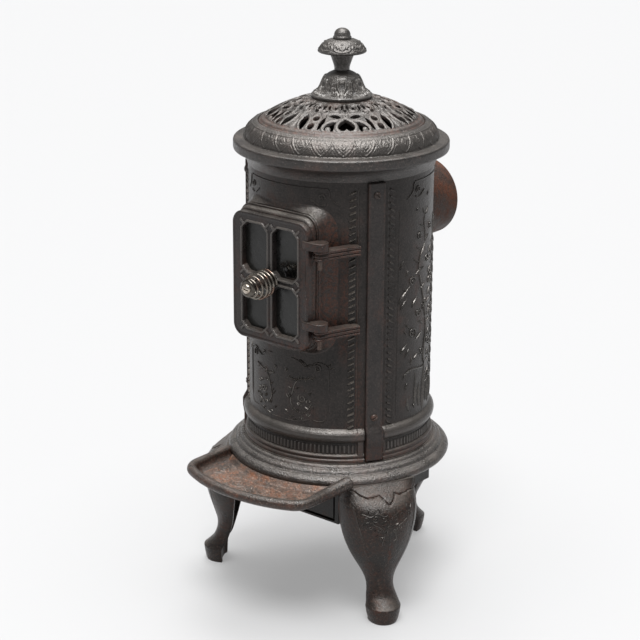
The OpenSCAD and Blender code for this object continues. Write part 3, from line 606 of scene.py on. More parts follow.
def iron(name, dark=(33, 31, 30), light=(56, 53, 51), rust=(78, 52, 40), rusty=0.25, rough=(0.30, 0.46), grain=1.0,
         seed=0.0, edge=0.25, dust_and_top_light=0.10, metallic=0.25, orange=0.0, spec=0.42, painted_glint_gain=1.7):
    """Blackened cast iron: cloudy grey-brown, rust bloom in patches and hollows, relief rubbed lighter with a painted
    highlight, faces turned up lighter with dust and painted top light, sand-cast grain with painted glints, and a
    painted highlight where a piece is marked polished.
    """
    n = Net(name)
    big = n.noise(7.0, 3.0, 0.55, seed + 1)
    mid = n.noise(38.0, 5.0, 0.6, seed + 2, distort=0.3)
    fine = n.noise(240.0, 4.0, 0.65, seed + 3)
    sand = n.noise(1100.0, 2.0, 0.6, seed + 4)
    grit = n.noise(520.0, 2.0, 0.55, seed + 6)
    streak = n.noise(60.0, 4.0, 0.6, seed + 5, stretch=(1.0, 1.0, 0.12))
    tone = n.math("ADD", n.math("MULTIPLY", big, 0.35), n.math("ADD", n.math("MULTIPLY", mid, 0.3), n.math("MULTIPLY", fine, 0.35)))
    col = n.mix(n.rng(tone, 0.36, 0.64), lin(*dark), lin(*light))
    # rust bloom
    rmask = n.math("ADD", n.math("MULTIPLY", mid, 0.5), n.math("ADD", n.math("MULTIPLY", big, 0.3), n.math("MULTIPLY", streak, 0.2)))
    hi = 0.66 - 0.24 * rusty
    rmask = n.rng(rmask, hi - 0.10, hi + 0.08)
    rel = n.attr("relief")
    tint = n.attr("tint")                      # extra rust painted on a piece
    amount = n.math("MULTIPLY", rmask, min(1.0, 0.15 + rusty), True)
    amount = n.math("ADD", amount, n.math("MULTIPLY", n.math("MULTIPLY", tint, n.rng(fine, 0.34, 0.62, 0.25, 1.0)), 0.9), True)
    rcol = n.mix(n.rng(fine, 0.38, 0.62), lin(*rust), lin(rust[0] * 1.3, rust[1] * 1.08, rust[2] * 0.95))
    col = n.mix(n.math("MULTIPLY", amount, 0.75), col, rcol)
    if orange:
        omask = n.rng(n.noise(75.0, 5.0, 0.65, seed + 9, distort=0.6), 0.56 - 0.16 * orange, 0.70 - 0.12 * orange)
        col = n.mix(n.math("MULTIPLY", omask, min(0.9, 0.5 + orange * 0.5)), col, lin(128, 78, 46))
    # raised relief lighter, rubbed and painted highlight; faces turned up lighter, light dust and painted top light
    rub_and_highlight = n.rng(rel, 0.25, 1.0, 0.0, edge)
    col = n.mix(rub_and_highlight, col, lin(92, 88, 84))
    up_dust_light_mask = n.math("MULTIPLY", n.rng(n.up(), 0.35, 0.95, 0.0, dust_and_top_light), n.rng(mid, 0.3, 0.7, 0.4, 1.0))
    col = n.mix(up_dust_light_mask, col, lin(112, 107, 101))
    # painted glints: the sand grain's bright specks lightened as highlights
    col = n.mix(n.rng(grit, 0.56, 0.70, 0.0, min(0.34, 0.22 * grain) * painted_glint_gain / 1.7), col, lin(min(255, light[0] * painted_glint_gain), min(255, light[1] * painted_glint_gain), min(255, light[2] * painted_glint_gain)))
    col = n.mix(n.rng(grit, 0.44, 0.32, 0.0, 0.45), col, lin(dark[0] * 0.45, dark[1] * 0.45, dark[2] * 0.45))
    # small pale specks and scratches
    sp = n.rng(n.voronoi(120.0, seed + 2), 0.09, 0.03)
    spots = n.math("MULTIPLY", sp, n.rng(n.noise(33.0, 2.0, 0.5, seed + 11), 0.56, 0.62))
    col = n.mix(n.math("MULTIPLY", spots, 0.45), col, lin(130, 122, 112))
    # painted highlight: where a piece is marked polished its colour is lightened
    col = n.mix(n.math("MULTIPLY", n.attr("polish_and_highlight"), 0.5, True), col, lin(100, 95, 90))
    n.link(col, n.b.inputs["Base Color"])
    r = n.rng(n.math("ADD", n.math("MULTIPLY", mid, 0.5), n.math("MULTIPLY", fine, 0.5)), 0.32, 0.68, rough[0], rough[1])
    r = n.math("ADD", r, n.math("MULTIPLY", amount, 0.20), True)
    n.link(r, n.b.inputs["Roughness"])
    polish_and_highlight = n.attr("polish_and_highlight")                    # polished by wear
    clean = n.math("SUBTRACT", 1.0, amount, True)
    n.link(n.math("ADD", n.math("MULTIPLY", clean, metallic), n.math("MULTIPLY", polish_and_highlight, 0.35), True), n.b.inputs["Metallic"])
    n.link(n.math("ADD", n.math("MULTIPLY", n.math("ADD", n.math("MULTIPLY", clean, 0.75), 0.25), spec), polish_and_highlight), n.b.inputs["Specular IOR Level"])
    nb = n.bump(fine, 0.36 * grain, 0.0010)
    nb = n.bump(sand, 0.42 * grain, 0.00032, nb)
    nb = n.bump(grit, 0.48 * grain, 0.0008, nb)
    nb = n.bump(mid, 0.18 * grain, 0.0012, nb)
    n.link(nb, n.b.inputs["Normal"])
    return n.m


M = {
    "barrel_iron": iron("barrel_iron_mat", dark=(30, 27, 25), light=(51, 46, 44), rusty=0.18, seed=1, rough=(0.28, 0.42), spec=0.30, edge=0.4, dust_and_top_light=0.6),
    "strip_iron": iron("strip_iron_mat", dark=(32, 29, 28), light=(52, 47, 45), rusty=0.2, seed=2, rough=(0.32, 0.46)),
    "top_iron": iron("top_iron_mat", dark=(25, 22, 20), light=(48, 42, 39), rusty=0.20, seed=3, dust_and_top_light=0.35, edge=0.5, rough=(0.31, 0.45), spec=1.0, metallic=0.42, grain=1.6, painted_glint_gain=2.2),
    "finial_iron": iron("finial_iron_mat", dark=(46, 44, 42), light=(86, 82, 79), rusty=0.03, seed=4, dust_and_top_light=0.4, edge=0.4, rough=(0.31, 0.46), spec=1.0, metallic=0.5, grain=1.2),
    "door_iron": iron("door_iron_mat", dark=(24, 20, 19), light=(42, 36, 34), rusty=0.22, seed=5, dust_and_top_light=0.45, edge=0.6, rough=(0.25, 0.37), spec=0.5, metallic=0.22),
    "neck_iron": iron("neck_iron_mat", dark=(26, 23, 21), light=(47, 42, 39), rusty=0.16, seed=20, dust_and_top_light=0.95, edge=0.35, rough=(0.27, 0.40), grain=1.8, spec=0.55, metallic=0.28),
    "base_iron": iron("base_iron_mat", dark=(24, 20, 18), light=(46, 39, 35), rusty=0.32, seed=6, dust_and_top_light=0.65, rough=(0.25, 0.38), grain=2.3, spec=1.0, metallic=0.36, painted_glint_gain=2.3),
    "tray_iron": iron("tray_iron_mat", dark=(22, 19, 17), light=(42, 36, 32), rusty=0.25, seed=7, dust_and_top_light=0.35, rough=(0.24, 0.37), grain=2.0, spec=0.65, painted_glint_gain=2.8),
    "leg_iron": iron("leg_iron_mat", dark=(16, 14, 12), light=(32, 27, 24), rusty=0.18, seed=8, dust_and_top_light=0.5, edge=0.35, rough=(0.25, 0.37), grain=1.6, spec=0.42, metallic=0.2, painted_glint_gain=2.6),
    "sheet_iron": iron("sheet_iron_mat", dark=(15, 12, 11), light=(24, 20, 18), rusty=0.35, seed=9),
    "cover_iron": iron("cover_iron_mat", dark=(24, 22, 21), light=(38, 36, 34), rusty=0.3, seed=10),
    "grate_iron": iron("grate_iron_mat", dark=(40, 36, 34), light=(74, 67, 62), rusty=0.6, seed=11, rough=(0.6, 0.8)),
    "flue_iron": iron("flue_iron_mat", dark=(36, 27, 24), light=(60, 45, 37), rust=(82, 53, 39), rusty=0.6, seed=12,
                      rough=(0.5, 0.7), grain=2.0, metallic=0.1, spec=0.3),
    "retainer_iron": iron("retainer_iron_mat", dark=(26, 24, 23), light=(44, 40, 38), rusty=0.25, seed=13),
    "relief_iron": iron("relief_iron_mat", dark=(42, 40, 38), light=(78, 74, 70), rusty=0.12, seed=18, rough=(0.20, 0.32), metallic=0.6, spec=0.9, edge=0.2, grain=0.6),
    "leg_relief": iron("leg_relief_mat", dark=(32, 29, 27), light=(62, 57, 53), rusty=0.2, seed=22, rough=(0.24, 0.36), metallic=0.5, spec=0.7, edge=0.2, grain=0.6),
    "bell_iron": iron("bell_iron_mat", dark=(48, 46, 44), light=(100, 96, 92), rusty=0.03, seed=23, dust_and_top_light=0.5, edge=0.9, rough=(0.26, 0.40), metallic=0.3, spec=1.0, grain=1.2, painted_glint_gain=1.5),
    # lighter iron for the front spray and the lower leg sprigs: rubbed raw, with a painted highlight
    "bright_iron": iron("bright_iron_mat", dark=(50, 47, 45), light=(94, 89, 84), rusty=0.08, seed=21, rough=(0.22, 0.34), metallic=0.7, spec=1.0, edge=0.2, grain=0.5),
    # lighter iron for the front teeth: rubbed, with a painted highlight
    "tooth_iron": iron("tooth_iron_mat", dark=(58, 54, 50), light=(118, 110, 103), rusty=0.12, seed=19, rough=(0.22, 0.36), metallic=0.65, spec=1.0, edge=0.2, grain=0.5),
    "rusty_screw": iron("rusty_screw_mat", dark=(44, 36, 33), light=(74, 62, 56), rust=(86, 56, 44), rusty=0.4, seed=14, edge=0.4),
    "steel": iron("steel_mat", dark=(48, 42, 39), light=(84, 75, 69), rusty=0.4, seed=15, metallic=0.5, rough=(0.34, 0.5)),
}


def nickel_mat(name="nickel_mat", k=1.0, copper=0.45):
    """Worn nickel plate, coppery where it is thin; k darkens it."""
    n = Net(name)
    mid = n.noise(260.0, 4.0, 0.6, 3)
    big = n.noise(60.0, 3.0, 0.5, 5)
    turned = n.noise(900.0, 2.0, 0.5, 7, stretch=(1.0, 0.2, 1.0))
    col = n.mix(n.rng(mid, 0.35, 0.65), lin(150 * k, 141 * k, 130 * k), lin(196 * k, 188 * k, 176 * k))
    cop = n.math("MULTIPLY", n.rng(big, 0.5, 0.62), copper)
    col = n.mix(cop, col, lin(168 * k, 100 * k, 68 * k))
    col = n.mix(n.rng(n.noise(400.0, 4.0, 0.6, 9), 0.60, 0.7, 0.0, 0.6), col, lin(70, 58, 50))
    n.link(col, n.b.inputs["Base Color"])
    n.b.inputs["Metallic"].default_value = 0.92
    n.link(n.rng(mid, 0.3, 0.7, 0.16, 0.32), n.b.inputs["Roughness"])
    nb = n.bump(turned, 0.12, 0.0002)
    nb = n.bump(mid, 0.12, 0.0003, nb)
    n.link(nb, n.b.inputs["Normal"])
    return n.m


def mica_mat(name="mica_mat", k=1.0, rough=(0.24, 0.42)):
    n = Net(name)
    cloud = n.noise(34.0, 5.0, 0.6, 2, distort=0.5)
    flake = n.voronoi(160.0, 1, "F1")
    soot = n.noise(14.0, 4.0, 0.6, 4)
    col = n.mix(n.rng(cloud, 0.35, 0.65), lin(14 * k, 14 * k, 13 * k), lin(24 * k, 24 * k, 22 * k))
    col = n.mix(n.rng(soot, 0.52, 0.68, 0.0, 0.65), col, lin(12 * k, 11 * k, 10 * k))
    n.link(col, n.b.inputs["Base Color"])
    n.link(n.rng(cloud, 0.3, 0.7, *rough), n.b.inputs["Roughness"])
    n.b.inputs["Specular IOR Level"].default_value = 0.4
    n.b.inputs["Coat Weight"].default_value = 0.1
    n.b.inputs["Coat Roughness"].default_value = 0.22
    nb = n.bump(flake, 0.10, 0.0004)
    nb = n.bump(cloud, 0.25, 0.0008, nb)
    n.link(nb, n.b.inputs["Normal"])
    return n.m


M["tray_floor"] = iron("tray_floor_mat", dark=(48, 41, 37), light=(86, 73, 65), rust=(104, 72, 50), rusty=0.40, seed=17, dust_and_top_light=0.35, rough=(0.34, 0.50), grain=2.0, orange=0.42, edge=0.35, spec=0.6, painted_glint_gain=2.2)
M["nickel"] = nickel_mat(copper=0.04)
M["coil"] = nickel_mat("coil_mat", 0.7, 0.4)
M["washer"] = nickel_mat("washer_mat", 0.5, 0.05)
M["mica"] = mica_mat()
# very dark glossy mica for the back sheet that paints the shade behind the torn pane
M["mica_back"] = mica_mat("mica_back_mat", 0.5, (0.06, 0.16))

for node, ob in NODES.items():
    mat = M[SLOTS[node]]
    if not ob.data.materials:
        ob.data.materials.append(mat)
    for k in range(len(ob.material_slots)):
        ob.material_slots[k].material = mat

# ------------------------------------------------------------------ more shape helpers
def block_shell(name, top, bot, k, body, mat, keep=None, wrap=False, flip=False, attrs=None, replaces=(), sharp=38.0):
    """A finely divided outer face and a k times coarser inner face joined at every edge. keep marks the blocks kept."""
    ni, nj = top.shape[:2]
    bi, bj = (ni - 1) // k, (nj // k if wrap else (nj - 1) // k)
    keep = np.ones((bi, bj), bool) if keep is None else keep
    cells = np.kron(keep, np.ones((k, k), bool))
    I, J = np.nonzero(cells)
    J1 = (J + 1) % nj if wrap else J + 1
    idf = lambda i, j: i * nj + j
    q = [np.stack([idf(I, J), idf(I + 1, J), idf(I + 1, J1), idf(I, J1)], 1)]
    cj = bj if wrap else bj + 1
    base = ni * nj
    A, B = np.nonzero(keep)
    B1 = (B + 1) % cj
    q.append(base + np.stack([A * cj + B1, (A + 1) * cj + B1, (A + 1) * cj + B, A * cj + B], 1))
    tris = []
    for a, b in zip(A, B):
        b1 = (b + 1) % cj
        sides = (
            (b - 1 if (b > 0 or wrap) else None, a, [(a * k + m, b * k) for m in range(k + 1)], (a, b), (a + 1, b)),
            (b, a + 1, [((a + 1) * k, b * k + m) for m in range(k + 1)], (a + 1, b), (a + 1, b1)),
            ((b + 1) % bj if wrap else b + 1, a, [((a + 1) * k - m, (b + 1) * k) for m in range(k + 1)], (a + 1, b1), (a, b1)),
            (b, a - 1, [(a * k, (b + 1) * k - m) for m in range(k + 1)], (a, b1), (a, b)),
        )
        for nb, na, fine, c0, c1 in sides:
            inside = nb is not None and 0 <= na < bi and -1 <= nb < bj and keep[na, nb]
            if inside:
                continue
            f = [i * nj + (j % nj if wrap else j) for i, j in fine]
            p0, p1 = base + c0[0] * cj + c0[1], base + c1[0] * cj + c1[1]
            tris.append((p0, p1, f[-1]))
            for m in range(len(f) - 1, 0, -1):
                tris.append((p0, f[m], f[m - 1]))
    quads = np.concatenate(q)
    tris = np.array(tris, np.int64).reshape(-1, 3)
    coarse = bot[::k, ::k][:bi + 1, :cj]
    v = np.concatenate([top.reshape(-1, 3), coarse.reshape(-1, 3)])
    used = np.zeros(len(v), bool)
    used[quads.ravel()] = True
    used[tris.ravel()] = True
    new = np.cumsum(used) - 1
    quads, tris = new[quads], new[tris]
    if flip:
        quads, tris = quads[:, ::-1], tris[:, ::-1]
    at = {}
    for key, x in (attrs or {}).items():
        at[key] = np.concatenate([x.ravel(), x[::k, ::k][:bi + 1, :cj].ravel()])[used]
    return make(name, v[used], quads, tris, body, mat, sharp, at, replaces)


def spacing(*spans):
    """Grid values from (start, end, step) spans laid end to end."""
    out = []
    for a, b, s in spans:
        n = max(1, int(round((b - a) / s)))
        out.extend(a + (b - a) * i / n for i in range(n))
    out.append(spans[-1][1])
    return np.array(out)


def fit_blocks(x, k):
    """Makes the number of steps a multiple of k by evenly resampling in index space."""
    n = len(x) - 1
    m = int(math.ceil(n / k)) * k
    return np.interp(np.linspace(0, n, m + 1), np.arange(n + 1), x)


def poly_sd(U, V, pts):
    """Signed distance to a closed outline, negative inside."""
    pts = np.asarray(pts, float)
    out = np.full(U.shape, 60.0)
    lo, hi = pts.min(0) - 14, pts.max(0) + 14
    idx = np.nonzero((U > lo[0]) & (U < hi[0]) & (V > lo[1]) & (V < hi[1]))
    if not len(idx[0]):
        return out
    u, v = U[idx], V[idx]
    best = np.full(u.shape, 1e9)
    ins = np.zeros(u.shape, bool)
    n = len(pts)
    for k in range(n):
        a, b = pts[k], pts[(k + 1) % n]
        ab = b - a
        L2 = max((ab * ab).sum(), 1e-12)
        t = np.clip(((u - a[0]) * ab[0] + (v - a[1]) * ab[1]) / L2, 0, 1)
        best = np.minimum(best, np.hypot(u - a[0] - t * ab[0], v - a[1] - t * ab[1]))
        if a[1] != b[1]:
            hit = ((a[1] > v) != (b[1] > v)) & (u < a[0] + (v - a[1]) * (b[0] - a[0]) / (b[1] - a[1]))
            ins ^= hit
    out[idx] = np.where(ins, -best, best)
    return out


def lens(a, b, w, n=14, skew=0.0):
    """Pointed oval outline from a to b, w half wide."""
    a, b = np.array(a, float), np.array(b, float)
    L = np.linalg.norm(b - a)
    ax = (b - a) / L
    no = np.array([-ax[1], ax[0]])
    t = np.linspace(0, 1, n)
    s = np.sin(np.pi * t) ** 0.8 * w
    mid = skew * np.sin(np.pi * t)
    one = [a + ax * L * x + no * (y + m) for x, y, m in zip(t, s, mid)]
    two = [a + ax * L * x - no * (y - m) for x, y, m in zip(t, s, mid)]
    return np.array(one[:-1] + two[:0:-1])


def oval(c, ru, rv, n=28, tilt=0.0):
    a = np.linspace(0, 2 * np.pi, n, endpoint=False)
    x, y = ru * np.cos(a), rv * np.sin(a)
    ct, st = math.cos(math.radians(tilt)), math.sin(math.radians(tilt))
    return np.stack([c[0] + x * ct - y * st, c[1] + x * st + y * ct], 1)


# ------------------------------------------------------------------ barrel
R0 = 120.0
PLINTH = [(208, 126.2), (211.5, 126.2), (213, 124.6), (214.2, 124.6), (215.6, 125.6), (217.4, 125.4), (218.8, 123.6), (219.4, 122.4),
          (234.2, 122.2), (235, 123.4), (236.6, 125.6), (239.4, 127.2), (243, 127.8), (246.6, 127.0), (249.8, 124.8), (252, 122.0),
          (253, 120.2), (254.4, 120.0), (579, 120.0)]


DEG = R0 * math.pi / 180


def on_barrel(a):
    """u is arc length from the panel's middle, v the height, h the distance off the barrel."""
    def place(u, v, h):
        g = math.radians(a) + u / R0
        r = R0 + 0.2 + h
        return np.stack([r * np.sin(g), -r * np.cos(g), v + 0 * u], -1)
    return place


def scrollwork(R, s, top=True, low=True):
    """Frame lines and scrolls of a panel, s = 1 or -1 for its right or left half; u = R0 * phi."""
    def P(*pts):
        return np.array([(s * a * DEG, b) for a, b in pts])
    if top:
        R.cord(P((0, 571), (31.2, 571)), 0.85, 1.0, 0.02, 0.02)
        R.cord(np.concatenate([P((31.2, 571)), P((32.0, 566)), P((32.2, 561)), bezier(*P((32.2, 561), (33.2, 556.5), (35.2, 552.4), (38.5, 549)))]), 0.85, 1.0, 0.02)
        R.cord(bezier(*P((19.6, 557), (22.6, 555.0), (24.0, 549.6), (26.8, 549.2))), 1.2, 1.2)
        R.cord(bezier(*P((26.8, 549.2), (28.8, 549.0), (29.9, 550.6), (30.2, 552.6))), 1.1, 1.2)
        sp = spiral((27.3 * DEG, 560.0), 5.2, 1.2, -60, 1.35)
        sp[:, 0] *= s
        R.cord(sp, 1.1, 1.25)
        R.knob((s * 27.3 * DEG, 560.0), 1.4, 1.3)
    if low:
        R.cord(bezier(*P((7, 344.5), (11, 345), (14.5, 341), (16.2, 336.2))), 0.9, 1.0)
        R.cord(bezier(*P((16.2, 336.2), (18.2, 333.6), (20.2, 336.0), (22.3, 340.2))), 0.95, 1.1)
        R.cord(bezier(*P((22.3, 340.2), (25.6, 344.0), (30.2, 343.2), (32.2, 335.5))), 1.0, 1.25)
        R.cord(np.concatenate([P((32.2, 335.5)), P((32.3, 318)), P((32.1, 300)), P((32.0, 276)), P((31.5, 268))]), 0.85, 0.95, 0.02, 0.3)
        sp = spiral((25.4 * DEG, 334.6), 6.0, 1.4, 150, -1.4)
        sp[:, 0] *= s
        R.cord(sp, 1.0, 1.45)
        R.knob((s * 25.4 * DEG, 334.6), 1.3, 1.3)
        R.cord(bezier(*P((31.5, 268), (30.5, 262), (26, 260), (22, 264))), 0.8, 0.8)
        R.cord(P((22, 264), (12, 258.5), (0, 258.5)), 0.75, 0.6)


def spray(R, s):
    """Loose foliage under the scroll: wavy sprigs, a bent stem, curls, feather strokes and two rings."""
    def P(*pts):
        return np.array([(s * a * DEG, b) for a, b in pts])

    def curl(a, z, r0, r1, a0, t, w=1.05, h=1.1):
        q = spiral((0, 0), r0, r1, a0, t)
        R.cord([(s * (a * DEG + x), z + y) for x, y in q], w, h, step=0.8)
    R.cord(bezier(*P((5.0, 316.5), (7.4, 319.5), (8.6, 313.5), (11.6, 316.6))), 0.75, 1.0)
    for k, (a, z) in enumerate(((6.0, 317.4), (8.2, 316.6), (10.2, 316.8), (13.0, 317.6), (15.0, 318.2), (17.0, 319.0), (19.0, 319.8), (21.2, 320.6), (23.0, 321.6))):
        R.leaf(*P((a - 0.4, z - 1.6), (a + 1.1, z + 3.6 - (k % 3))), 0.95, 0.75)
        if k % 2:
            R.leaf(*P((a + 0.4, z - 1.0), (a + 1.5, z - 4.8)), 0.9, 0.7)
    R.cord(P((12.6, 316.6), (18.0, 318.4), (23.6, 321.8)), 0.6, 0.8)
    R.cord(bezier(*P((12.4, 315.0), (9.6, 309.5), (9.2, 298.0), (8.2, 292.0))), 0.8, 1.1)
    R.cord(bezier(*P((8.2, 292.0), (6.6, 283.0), (9.0, 275.0), (14.0, 270.8))), 0.75, 1.05)
    for a0, z0, a1, z1, w in ((4.2, 293.5, 7.8, 285.6, 0.7), (5.8, 296.0, 8.8, 288.0, 0.6), (3.1, 273.0, 6.0, 268.8, 0.8), (7.6, 279.4, 9.2, 272.6, 0.7),
                              (11.6, 274.6, 15.4, 276.8, 0.7), (6.6, 263.6, 10.4, 265.8, 0.7), (11.0, 303.0, 14.4, 306.6, 0.8), (8.8, 300.0, 6.0, 305.0, 0.8), (17.4, 281.0, 21.6, 276.0, 0.8),
                              (19.2, 297.2, 22.2, 301.0, 0.8), (16.8, 299.4, 18.8, 305.0, 0.8), (21.6, 283.6, 23.4, 278.0, 0.7), (12.2, 262.6, 9.0, 259.6, 0.7), (12.4, 285.6, 16.0, 279.8, 0.75)):
        R.leaf(*P((a0, z0), (a1, z1)), w * 1.6, 1.0)
    curl(15.5, 291.3, 6.4, 1.6, 120, 1.35, 1.05, 1.1)
    curl(19.9, 288.4, 4.4, 1.2, -40, -1.25)
    R.leaf(*P((12.0, 284.0), (14.6, 279.4)), 1.1, 1.0)
    R.cord(bezier(*P((14.0, 270.8), (17.0, 270.0), (20.6, 279.0), (21.4, 286.0))), 0.7, 0.95)
    for a, z in ((15.1, 264.3), (19.5, 269.5)):        # two small five-petalled flowers
        for j in range(5):
            u = (72 * j + 18) * math.pi / 180
            R.leaf((s * (a * DEG + 0.9 * math.cos(u)), z + 0.9 * math.sin(u)), (s * (a * DEG + 3.1 * math.cos(u)), z + 3.1 * math.sin(u)), 1.1, 0.8)
        R.knob((s * a * DEG, z), 0.9, 0.9)
    # by the scroll
    R.leaf(*P((13.4, 344.6), (18.8, 337.2)), 1.6, 1.2)
    R.leaf(*P((18.2, 337.0), (23.6, 338.8)), 1.4, 1.2)
    R.leaf(*P((31.6, 337.2), (34.4, 343.0)), 1.2, 1.0)
    R.leaf(*P((33.0, 334.8), (36.0, 336.8)), 1.1, 0.9)
    # towards the middle
    curl(4.6, 326.0, 2.6, 1.0, 30, 1.2, 0.7, 1.0)
    R.leaf(*P((10.8, 313.6), (13.4, 319.2)), 0.9, 1.0)


def blades(R, s):
    """Side panel: upright blades at the foot, a bent stem with curls, leaves and a rosette, and a leafy middle stem."""
    def P(*pts):
        return np.array([(s * a * DEG, b) for a, b in pts])
    # foot blades
    for a0, z0, a1, z1, w, h, bend in ((-15.6, 254, -14.0, 321, 3.6, 2.0, 1.2), (-26.6, 263, -26.0, 315, 2.4, 1.7, -1.4), (-5.0, 257, -4.6, 300, 3.0, 1.9, 0.8),
                                       (-20.8, 262, -21.4, 298, 2.4, 1.5, 1.0), (-10.2, 262, -9.6, 306, 2.2, 1.6, -0.8), (-32.4, 262, -34.0, 284, 1.8, 1.2, 0.6)):
        R.leaf(*P((a0, z0), (a1, z1)), w, h, bend=s * bend, n=16)
    R.knob(P((-26.8, 268))[0], 2.2, 1.9)
    # bent stem and its curls
    R.cord(np.concatenate([bezier(*P((-14, 318), (-17.4, 312), (-26, 322), (-32.8, 319.5))), P((-36.8, 315.3), (-38.6, 309))]), 1.15, 1.6, 0.05, 0.3)
    R.cord(bezier(*P((-14, 318), (-21, 336), (-10, 362), (-14.3, 383))), 1.25, 1.7, 0.05, 0.1)
    R.cord(bezier(*P((-14.3, 383), (-16.5, 404), (-21, 430), (-24, 447))), 1.2, 1.6, 0.05, 0.1)
    R.cord(bezier(*P((-24, 447), (-27, 470), (-19.4, 476), (-17.4, 486))), 1.1, 1.5, 0.05, 0.3)
    R.cord(bezier(*P((-17.4, 486), (-15, 500), (-22, 512), (-18, 524))), 0.95, 1.2, 0.1, 0.4)
    for a, z, r0, a0, t in ((-30.4, 369.5, 8.4, -60, 1.6), (-24.5, 395, 6.4, 40, -1.4), (-31.5, 440, 7.2, -20, 1.4), (-13.5, 462, 6.5, 160, -1.4), (-24.5, 497, 6.0, 20, 1.3),
                            (-20.0, 340, 6.0, 200, 1.3), (-9.5, 350, 6.2, -10, -1.3), (-8.8, 430, 6.4, 10, 1.4), (-10.0, 505, 5.4, 190, 1.3)):
        q = spiral((0, 0), r0, 1.3, a0, t)
        R.cord([(s * (a * DEG + x), z + y) for x, y in q], 1.0, 1.45, step=0.9)
        R.knob((s * a * DEG, z), 1.5, 1.6)
    # leaves
    for a0, z0, a1, z1, w, h, bend in ((-44, 412, -33, 435, 2.0, 1.7, 1.8), (-42, 405, -36, 419, 1.5, 1.3, 1.0), (-42.6, 459, -39.6, 471, 1.1, 1.2, 0.4), (-31.6, 404, -26, 417, 1.7, 1.4, 0.8),
                                       (-28, 448, -17.6, 453.5, 1.8, 1.5, 1.2), (-41, 346.5, -35, 357, 1.6, 1.4, 0.8), (-28.6, 332.5, -23.4, 339.5, 1.5, 1.4, 0.5),
                                       (-34.4, 303, -36.6, 294, 1.3, 1.1, 0.3), (-31, 326, -30, 336, 1.4, 1.2, 0.4), (-20, 366, -27, 358, 1.6, 1.4, 0.6), (-18, 376, -25, 383, 1.6, 1.4, -0.6),
                                       (-37, 384, -33, 376, 1.4, 1.2, 0.5), (-38.4, 376, -36, 370, 1.0, 1.0, 0.3), (-35, 428, -40.5, 433, 1.4, 1.2, 0.5), (-22, 424, -16, 432, 1.7, 1.5, 0.6),
                                       (-24.5, 462, -31, 470, 1.6, 1.4, 0.6), (-22, 478, -28.5, 484, 1.5, 1.3, 0.5), (-18, 490, -12, 494, 1.5, 1.3, -0.4), (-19.4, 508, -25.5, 513, 1.3, 1.1, 0.4),
                                       (-18, 522, -21.5, 533, 1.3, 1.1, 0.3), (-17.6, 522, -13.2, 532, 1.3, 1.1, -0.3), (-28.6, 531, -27.2, 536, 0.9, 0.9, 0.2), (-15.4, 546, -14.4, 552, 0.9, 0.9, 0.2),
                                       (-33.5, 350, -37.5, 338, 1.3, 1.1, 0.4), (-35.5, 456, -38, 447, 1.1, 1.0, 0.3)):
        R.leaf(*P((a0, z0), (a1, z1)), w, h, bend=s * bend)
    # rosette
    for k in range(7):
        g = 2 * math.pi * k / 7 + 0.3
        c = (-16.4 * DEG, 402.0)
        R.leaf((s * (c[0] + 2.2 * math.cos(g)), c[1] + 2.2 * math.sin(g)), (s * (c[0] + 9.0 * math.cos(g)), c[1] + 9.0 * math.sin(g)), 2.2, 1.7)
    R.knob((s * -16.4 * DEG, 402.0), 2.6, 2.1)
    # leafy middle stem
    for k, z in enumerate(range(292, 486, 14)):
        side = -1 if k % 2 else 1
        R.leaf(*P((-0.6, z), (-6.8 - 1.2 * side, z + 10 + 2 * side)), 2.1, 1.9, bend=s * 1.0 * side)
        R.leaf(*P((-7.4, z + 3), (-11.6, z - 4 + 3 * side)), 1.5, 1.5, bend=s * 0.6)
    for k, z in enumerate(range(300, 480, 45)):
        q = spiral((0, 0), 6.0, 1.4, 90, 1.3)
        R.cord([(s * (-5.6 * DEG + x), z + y) for x, y in q], 1.1, 1.8)


def panel_ornament(name, a, front):
    R = Ornament(on_barrel(a))
    E = Ornament(on_barrel(a))
    F = Ornament(on_barrel(a))
    zig = 46.0 if front else 49.0
    for s in (1, -1):
        scrollwork(F, s, low=front)
        if front:
            spray(R, s)
        else:
            blades(R, s)
            F.cord([(s * 43.4 * DEG, 262), (s * 43.4 * DEG, 540)], 0.8, 0.5, 0.02, 0.02, step=6)
        # zigzag of raised teeth, points toward the panel's middle
        c = zig * DEG
        n = 37
        for k in range(n):
            z = 251.6 + 8.6 * (k + 0.5)
            j = 0.25 * math.sin(k * 12.9898 * (1 + s * 0.1))
            hh = (2.4 if front else 1.1) + 0.35 * math.sin(k * 7.1)
            E.wedge((s * (c - 4.5 + j), z - 1.9), (s * (c + 3.3), z + 1.9), 1.7, 2.0, hh)
    if not front:
        R.cord([(0, 286), (0, 492)], 1.3, 1.9, 0.02, 0.1, step=4)
        R.leaf((0, 488), (0, 518), 3.0, 1.9, n=12)
        R.leaf((0, 262), (0, 292), 3.2, 2.0, n=12)
    # the front teeth take the lighter iron as a painted highlight with wear; the side teeth stay plain barrel iron
    if front:
        E.build(name.replace("ornament", "teeth"), "stove", "barrel_iron", M["tooth_iron"], 0.0, sharp=25)
    else:
        E.build(name.replace("ornament", "teeth"), "stove", "barrel_iron", M["barrel_iron"], 0.0, sharp=25)
    F.build(name.replace("ornament", "frame_lines"), "stove", "barrel_iron", M["barrel_iron"], 0.0)
    # the front spray is in the lighter iron, a painted highlight with wear
    return R.build(name, "stove", "barrel_iron", M["bright_iron" if front else "relief_iron"], 0.0)


